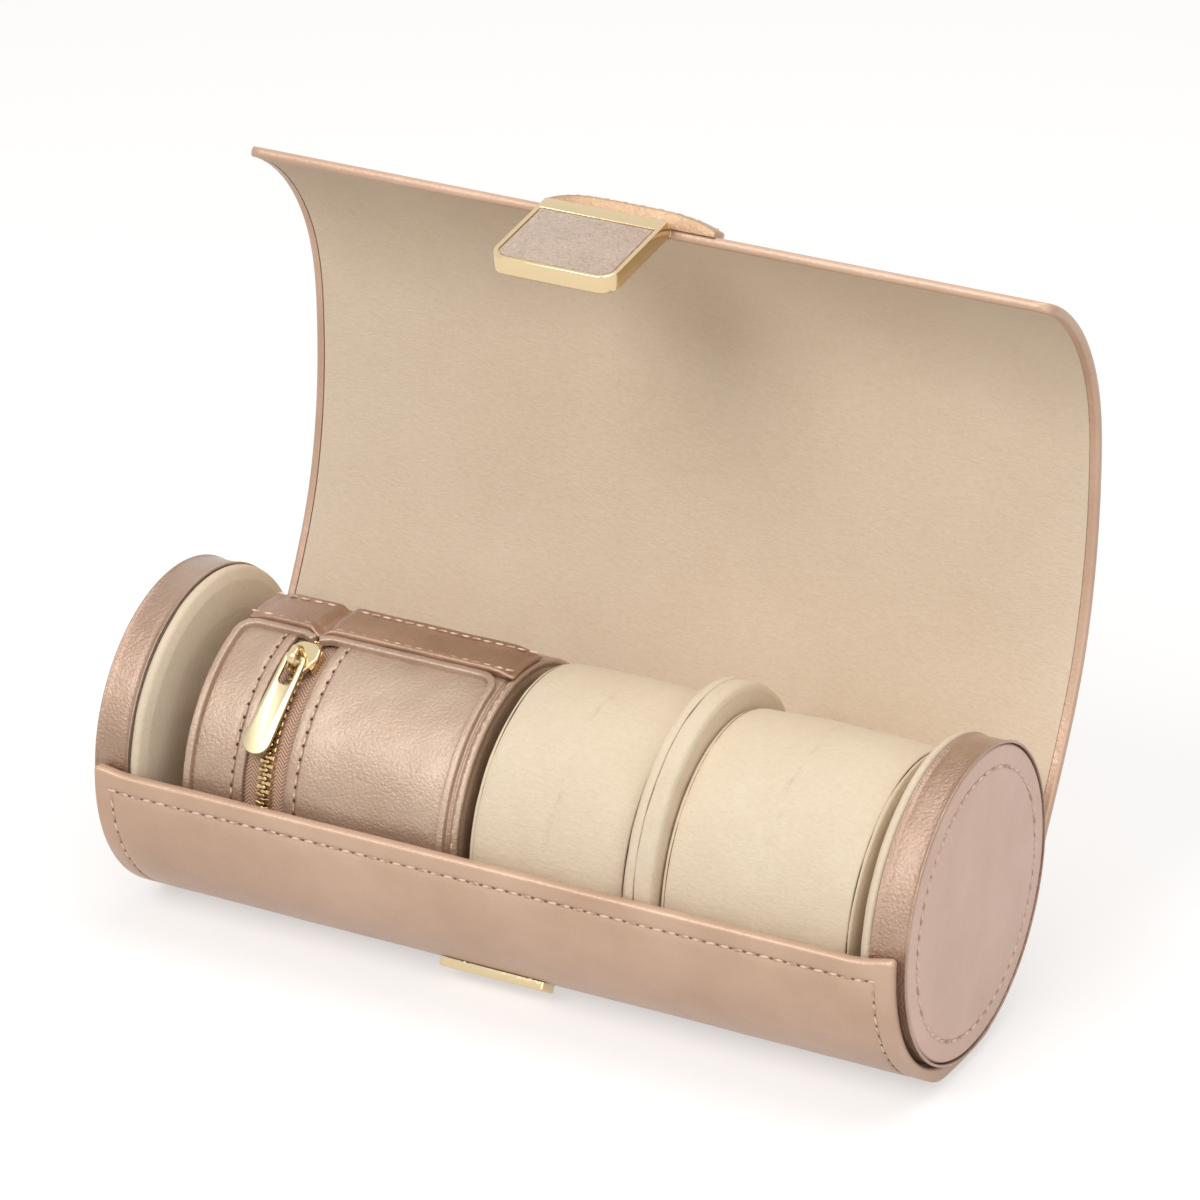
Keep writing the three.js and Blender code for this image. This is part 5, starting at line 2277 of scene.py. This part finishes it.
        reshape(piece, pinch)
        surface.carry(piece)
        ripple(piece, 0.25, 12, 3.0)
        smooth(piece, ROUNDED)
        dress(piece, SPINE_LEATHER, "pouch", ["pouch_spine"])
        gap = 4.5
        runs = [
            x
            for start, end in (
                (left + 1.6, self.zip_middle - gap), (self.zip_middle + gap, right - 1.6)
            )
            for x in spaced(start, end, 3.0)
        ]
        for label, s in (("front", first + 1.15), ("back", last - 1.9)):
            places = [(x, s, 1.86) for x in runs]
            row = Seam(f"pouch_spine_{label}_stitches", surface, Run.ACROSS, places, 2.3, 0.65)
            row.sew("pouch")

    def tape(self, name: str, start: float, end: float) -> None:
        """One half of the zip's tape, with a map of arc length and width for its weave.

        Args:
            name: CAD node that it stands for.
            start: left edge of the tape.
            end: right edge of the tape.
        """
        profile = fillet(
            [(start, 32.3, 0.1), (end, 32.3, 0.1), (end, 32.95, 0.25), (start, 32.95, 0.1)],
            closed=True, steps=2,
        )
        piece = turn(f"{name}_woven", profile, self.height, closed=True, steps=144)
        layer = piece.data.uv_layers.new(name="weave")
        points = read_points(piece)
        for loop in piece.data.loops:
            x, y, z = points[loop.vertex_index]
            angle = math.atan2(z - self.height, -y)
            layer.data[loop.index].uv = (angle * 32.9, x - self.zip_middle + 20)
        smooth(piece, ROUNDED)
        dress(piece, ZIP_TAPE, "pouch", [name])

    def teeth(self, name: str, side: int) -> None:
        """One row of teeth: a single tooth modelled once and copied round the pouch.

        Args:
            name: CAD node that the row stands for.
            side: -1 for the left row, 1 for the right one.
        """
        outline = [
            (side * 1.75, -0.52), (side * 1.75, 0.52), (side * 0.95, 0.52), (side * 0.6, 0.32),
            (side * 0.15, 0.32), (side * -0.15, 0.45), (side * -0.6, 0.25), (side * -0.6, -0.25),
            (side * -0.15, -0.45), (side * 0.15, -0.32), (side * 0.6, -0.32), (side * 0.95, -0.52),
        ]
        tooth = plate(name, outline, -0.75, 0.55)
        soften(tooth, 0.16, 1, lambda middle: middle.z > 0.5)
        ring = Barrel(self.height, 33.8)
        first = ring.radius * math.radians(self.spine_front - 2)
        last = ring.radius * math.radians(self.spine_back + 2 - 360)
        offset = 0 if side < 0 else self.tooth_pitch / 2
        count = int((first - last - offset) / self.tooth_pitch)
        places = [first - offset - index * self.tooth_pitch for index in range(count)]
        frames = [ring.stand(self.zip_middle, place, 0, Run.ACROSS) for place in places]
        row = repeat(f"{name}_metal", tooth, frames)
        smooth(row, 30)
        dress(row, TEETH_GOLD, "pouch", [name])


@dataclass(frozen=True)
class Upright(Surface):
    """Stands a pattern on edge: its first two directions become along and height."""

    base: Surface

    def lay(self, flat: np.ndarray) -> np.ndarray:
        """Places of flat points on the upright plane."""
        return self.base.lay(flat[:, [2, 0, 1]])


@dataclass(frozen=True)
class ZipSlider:
    """The zip's slider with its arched bail, and the long flat pull that hangs from it."""

    middle: float = -60.3
    slope: float = 204.0
    pull_slope: float = 228.5
    pull_hinge: Pair = (-17.222, 70.714)
    pull_turn: float = 7.0
    pull_length: float = 25.0

    def build(self) -> None:
        """Builds the slider and the pull."""
        self.slider()
        self.pull()

    def slider(self) -> None:
        """A shield-shaped plate, two side flanges and an arched bail, all polished."""
        plane = TiltedPlane(self.middle, (0.0, POUCH_HEIGHT), self.slope)
        shield = fillet(
            [
                (-3.3, -4.6, 2.6), (-4.0, -0.2, 2.4), (-2.0, 4.6, 1.4), (2.0, 4.6, 1.4),
                (4.0, -0.2, 2.4), (3.3, -4.6, 2.6),
            ],
            closed=True, steps=6,
        )
        top = plate("zip_slider_plate", shield, 34.75, 36.05)
        soften(top, 0.55, 4, lambda middle: middle.z > 36)
        plane.carry(top)
        pieces = [top]
        for side in (-1, 1):
            flange = fillet(
                [
                    (side * 3.75, -3.2, 0.3), (side * 3.75, 2.6, 0.3), (side * 3.05, 2.6, 0.3),
                    (side * 3.05, -3.2, 0.3),
                ],
                closed=True, steps=2,
            )
            wing = plate(f"zip_slider_flange_{side}", flange, 33.1, 35.2)
            plane.carry(wing)
            pieces.append(wing)
        arch = fillet(
            [
                (-0.6, 35.8, 0), (-0.6, 40.55, 2.0), (4.6, 40.55, 2.0), (4.6, 35.8, 0),
                (3.6, 35.8, 0), (3.6, 39.6, 1.2), (0.4, 39.6, 1.2), (0.4, 35.8, 0),
            ],
            closed=True, steps=5,
        )
        bail = plate("zip_slider_bail", arch, -1.0, 1.0)
        soften(bail, 0.35, 3, lambda middle: abs(middle.z) > 0.9)
        Upright(plane).carry(bail)
        pieces.append(bail)
        slider = join("zip_slider_metal", pieces)
        smooth(slider, 40)
        dress(slider, GOLD, "zip_slider", ["zip_slider"])

    def pull(self) -> None:
        """A flat bar with a rounded end, a rounded slot and softened edges."""
        plane = TiltedPlane(self.middle, self.pull_hinge, self.pull_slope, self.pull_turn)
        length = self.pull_length
        outline = fillet(
            [
                (-2.8, -0.6, 1.0), (2.8, -0.6, 1.0), (3.7, length - 0.6, 3.55),
                (-3.7, length - 0.6, 3.55),
            ],
            closed=True, steps=8,
        )
        bar = plate("zip_pull_metal", outline, -0.5, 0.5)
        slot = fillet(
            [(-1.6, 0.5, 0.8), (1.6, 0.5, 0.8), (1.7, 6.9, 1.0), (-1.7, 6.9, 1.0)], closed=True,
            steps=4,
        )
        carve(bar, plate("zip_pull_slot", slot, -2, 2))
        soften(bar, 0.22, sharp=ROUNDED)
        plane.carry(bar)
        smooth(bar, 40)
        dress(bar, PULL_GOLD, "zip_pull", ["zip_pull"])


@dataclass(frozen=True)
class Clasp:
    """The metal clasp with its leather inlay, the leather tab that holds it, and the catch."""

    middle: float = -6.0
    hinge: Pair = (32.238, 170.14)
    slope: float = 188.0
    half_width: float = 15.5
    start: float = 0.3
    end: float = 28.3
    top: float = 3.5
    skirt: float = -0.9
    wall: float = 1.2
    face: float = 1.3
    bar: float = 4.4
    border: float = 1.1
    inlay_depth: float = 0.6
    tab_middle: float = -2.0
    tab_half: float = 21.5
    tab_length: float = 17.0
    tab_rise: float = 2.6  # height of the bulge over the hinge
    catch_slope: float = 327.83

    def plane(self) -> TiltedPlane:
        """Plane of the clasp's face, with its hinge at the origin."""
        return TiltedPlane(self.middle, self.hinge, self.slope)

    def outline(self, inset: float, back: float, bend: float) -> list[Pair]:
        """Plan of the clasp, set in from its edge, with rounded front corners.

        Args:
            inset: distance from the clasp's edge.
            back: place of the outline's back side.
            bend: radius of its front corners.

        Returns:
            (across, along) points.
        """
        half = self.half_width - inset
        front = self.end - inset
        small = 0.5 if inset == 0 else 0.3
        return fillet(
            [(-half, back, small), (half, back, small), (half, front, bend), (-half, front, bend)],
            closed=True, steps=8,
        )

    def build(self) -> None:
        """Builds the frame, inlay, hinge ears, tab and catch plate."""
        self.frame()
        self.inlay()
        self.tab()
        self.catch()

    def frame(self) -> None:
        """The polished hollow frame with a bar behind the inlay and two hinge ears."""
        block = plate("clasp_frame_metal", self.outline(0, self.start, 4.2), self.skirt, self.top)
        hollow = plate(
            "clasp_hollow", self.outline(self.wall, self.start + self.wall, 3.2), self.skirt - 2,
            self.top - self.face,
        )
        carve(block, hollow)
        seat = plate(
            "clasp_seat", self.outline(self.border, self.start + self.bar, 3.3),
            self.top - self.inlay_depth, self.top + 2,
        )
        carve(block, seat)
        soften(
            block, 0.34, 3,
            lambda middle: middle.z > self.top - 0.1 or middle.z < self.skirt + 0.1, ROUNDED,
        )
        self.plane().carry(block)
        pieces = [block]
        for side in (-1, 1):
            ear = turn(
                f"clasp_ear_{side}",
                fillet(
                    [
                        (self.middle + side * 8.3, 0.85, 0.1),
                        (self.middle + side * 8.3, 1.6, 0.3),
                        (self.middle + side * 15.3, 1.6, 0.3),
                        (self.middle + side * 15.3, 0.85, 0.1),
                    ],
                    closed=True, steps=3,
                ),
                self.hinge[1], closed=True, steps=32,
            )
            reshape(ear, lambda points: points + np.array([0, self.hinge[0], 0]))
            pieces.append(ear)
        whole = join("clasp_frame_metal", pieces)
        smooth(whole, 35)
        dress(whole, GOLD, "clasp", ["clasp_frame"])

    def inlay(self) -> None:
        """The leather inlay, a thin cushion let into the frame."""
        gap = 0.3
        outline = self.outline(self.border + gap, self.start + self.bar + gap, 3.1)
        low = self.top - self.inlay_depth
        pad = plate("clasp_inlay_leather", outline, low + 0.02, self.top - 0.14)
        soften(pad, 0.2, 3, lambda middle: middle.z > low + 0.2)
        self.plane().carry(pad)
        smooth(pad, 50)
        dress(pad, INLAY_LEATHER, "clasp", ["clasp_inlay"])

    def tab(self) -> None:
        """The half-oval leather tab on the flap's outer side, stitched along its curve."""
        flap = FlapSurface()
        edge = flap.free_edge + 0.4
        low, high = flap.thickness - 0.1, flap.thickness + 1.15
        arc = [self.tab_curve(t, edge) for t in spaced(0, math.pi, math.pi / 40)]
        outline = [(arc[0][0], edge), *arc, (arc[-1][0], edge)]
        piece = plate("clasp_tab_leather", outline, low, high)
        soften(piece, 0.4, 3, lambda middle: middle.z > high - 0.1)
        rows = spaced(edge - self.tab_length + 1.5, edge - 1.5, 1.5)
        columns = spaced(self.tab_middle - 20, self.tab_middle + 20, 2.0)
        cuts = [((0, row * MM, 0), (0, 1, 0)) for row in rows]
        cuts += [((column * MM, 0, 0), (1, 0, 0)) for column in columns]
        with editing(piece):
            for place, normal in cuts:
                bpy.ops.mesh.select_all(action="SELECT")
                bpy.ops.mesh.bisect(plane_co=place, plane_no=normal, threshold=WELD)

        def bulge(points: np.ndarray) -> np.ndarray:
            """Lifts the upper face.

            Args:
                points: (across, along, height) rows of the flat pattern.

            Returns:
                The same rows, changed.
            """
            lift = self.tab_lift(points[:, 0], points[:, 1], edge)
            points[:, 2] += np.where(points[:, 2] > low + 0.3, lift, 0)
            return points

        reshape(piece, bulge)
        flap.carry(piece)
        smooth(piece, 50)
        dress(piece, TAB_LEATHER, "flap_7", ["clasp_tab"])
        turns = spaced(0.34, math.pi - 0.34, 0.115)
        places = [(*self.tab_curve(t, edge, 2.2), high - 0.05) for t in turns]
        row = spaced(self.tab_middle - 16, self.tab_middle + 16, 2.3)
        places += [(x, edge - 1.5, high - 0.05) for x in row]
        places = [
            (x, y, z + float(self.tab_lift(np.array(x), np.array(y), edge))) for x, y, z in places
        ]
        Seam("clasp_tab_stitches", flap, Run.ACROSS, places, length=1.7).sew("flap_7")

    def tab_curve(self, turn: float, edge: float, inset: float = 0.0) -> Pair:
        """A place on the tab's half-oval outline.

        Args:
            turn: angle from the tab's right corner, in radians.
            edge: place of the tab's straight edge along the flap.
            inset: distance inside the outline.

        Returns:
            Its (across, along) place.
        """
        reach = self.tab_length - 1.2 - inset
        across = self.tab_middle + (self.tab_half - inset) * math.cos(turn)
        return across, edge - 1.2 - reach * math.sin(turn) ** 0.8

    def tab_lift(self, across: np.ndarray, along: np.ndarray, edge: float) -> np.ndarray:
        """How far the tab's outer side stands up over the hinge hardware under it.

        Args:
            across: places across the roll.
            along: places along the flap.
            edge: place of the tab's straight edge.

        Returns:
            Height added at each place.
        """
        side = np.clip(1 - np.abs((across - self.tab_middle) / self.tab_half) ** 4, 0, 1)
        return self.tab_rise * side * smooth_step(along, edge - self.tab_length, edge - 4)

    def catch(self) -> None:
        """The plain bevelled catch plate on the wrap."""
        plane = TiltedPlane(self.middle, (0.0, AXIS_HEIGHT), self.catch_slope)
        outline = fillet(
            [(-13.5, -3.45, 0.9), (13.5, -3.45, 0.9), (13.5, 3.45, 0.9), (-13.5, 3.45, 0.9)],
            closed=True, steps=4,
        )
        bar = plate("catch_plate_metal", outline, 40.8, 42.85)
        soften(bar, 0.55, 4, lambda middle: middle.z > 42.8)
        plane.carry(bar)
        smooth(bar, 40)
        dress(bar, GOLD, "wrap", ["catch_plate"])


@dataclass(frozen=True)
class Studio:
    """Camera, soft lamps and the pale floor."""

    camera_place: tuple[float, float, float] = (0.576595, -1.078051, 0.678797)
    right: tuple[float, float, float] = (0.88481453, 0.4659434, 0.0)
    up: tuple[float, float, float] = (-0.20180579, 0.38322402, 0.90133999)
    ahead: tuple[float, float, float] = (-0.41997341, 0.79751872, -0.43311225)
    lens: float = 181.182
    sensor: float = 36.0
    ambient: float = 0.4

    def build(self) -> None:
        """Adds the camera, the lamps, the world and the floor."""
        bpy.context.scene.view_settings.view_transform = "Standard"
        self.camera()
        self.lamp("key_lamp", (-0.35, -1.15, 1.25), 0.8, 13.2)
        self.lamp("fill_lamp", (1.4, -1.1, 0.8), 1.2, 8.2)
        self.lamp("top_lamp", (0.3, 0.15, 1.6), 1.0, 9.6)
        self.world()
        self.floor()

    def camera(self) -> None:
        """The camera at the photograph's angle and focal length."""
        data = bpy.data.cameras.new("camera")
        data.lens = self.lens
        data.sensor_width = self.sensor
        camera = bpy.data.objects.new("camera", data)
        axes = Matrix((self.right, self.up, [-value for value in self.ahead])).transposed()
        camera.matrix_world = Matrix.Translation(self.camera_place) @ axes.to_4x4()
        bpy.context.scene.collection.objects.link(camera)
        bpy.context.scene.camera = camera

    def lamp(
        self, name: str, place: tuple[float, float, float], size: float, power: float
    ) -> None:
        """A square soft box that faces the middle of the roll.

        Args:
            name: name of the lamp.
            place: its place in metres.
            size: side of the square in metres.
            power: light in watts.
        """
        data = bpy.data.lights.new(name, "AREA")
        data.shape = "SQUARE"
        data.size = size
        data.energy = power
        lamp = bpy.data.objects.new(name, data)
        aim = Vector((0, 0.02, 0.06)) - Vector(place)
        turned = aim.to_track_quat("-Z", "Y").to_matrix().to_4x4()
        lamp.matrix_world = Matrix.Translation(place) @ turned
        bpy.context.scene.collection.objects.link(lamp)

    def world(self) -> None:
        """A white surround for the camera and reflections, a grey one for plain light."""
        world = bpy.data.worlds.new("studio")
        world.use_nodes = True
        tree = world.node_tree
        tree.nodes.clear()
        direct = direct_rays(tree)
        strength = add_node(tree, "MapRange", {3: self.ambient, 4: 1.0}, {0: direct})
        glow = add_node(tree, "Background", {"Color": linear("#FFFFFF")}, {"Strength": strength})
        add_node(tree, "OutputWorld", links={"Surface": glow})
        bpy.context.scene.world = world

    def floor(self) -> None:
        """A wide floor that rises softly behind the roll."""
        rest()
        bpy.ops.mesh.primitive_grid_add(x_subdivisions=8, y_subdivisions=40, size=12)
        piece = named("studio_floor")

        def sweep(points: np.ndarray) -> np.ndarray:
            """Raises the far part of the floor.

            Args:
                points: rows.

            Returns:
                The same rows, changed.
            """
            points[:, 2] = 900 * smooth_step(points[:, 1], 1500, 5200) * (points[:, 1] / 5200)
            return points

        reshape(piece, sweep)
        smooth(piece, ROUNDED)
        piece.data.materials.append(FLOOR.material())


SLOT_FINISH: dict[str, Finish] = {
    Slot.LEATHER.value: WRAP_LEATHER, Slot.LINING.value: LINING_SUEDE,
    Slot.CREAM.value: CREAM_SUEDE, Slot.FOAM.value: FOAM, Slot.BOARD.value: BOARD,
    Slot.TAPE.value: ZIP_TAPE, Slot.GOLD.value: GOLD, Slot.STEEL.value: STEEL,
}


def paint_nodes(frame: dict) -> None:
    """Gives every CAD node the finish of its slot.
    """
    slots = {part["node"]: part["material_slot"] for part in frame["record"]["subparts"]}
    for name, node in frame["nodes"].items():
        finish = SLOT_FINISH[slots[name]]
        node.data.materials.clear()
        node.data.materials.append(finish.material())


def main() -> None:
    """Builds the roll's looks around its CAD part."""
    logging.basicConfig(level=logging.INFO, format="%(name)s %(message)s")
    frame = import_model()
    bpy.ops.object.select_all(action="DESELECT")
    paint_nodes(frame)
    Studio().build()
    Wrap().build()
    Flap().build()
    RoundEnd(-1, "left_end").build()
    RoundEnd(1, "right_end").build()
    WatchCushion("cushion_one", -7.0, 33.4).build()
    WatchCushion("cushion_two", 41.2, 88.4).build()
    Divider().build()
    ZipPouch().build()
    ZipSlider().build()
    Clasp().build()
    rest()


if __name__ == "__main__":
    main()
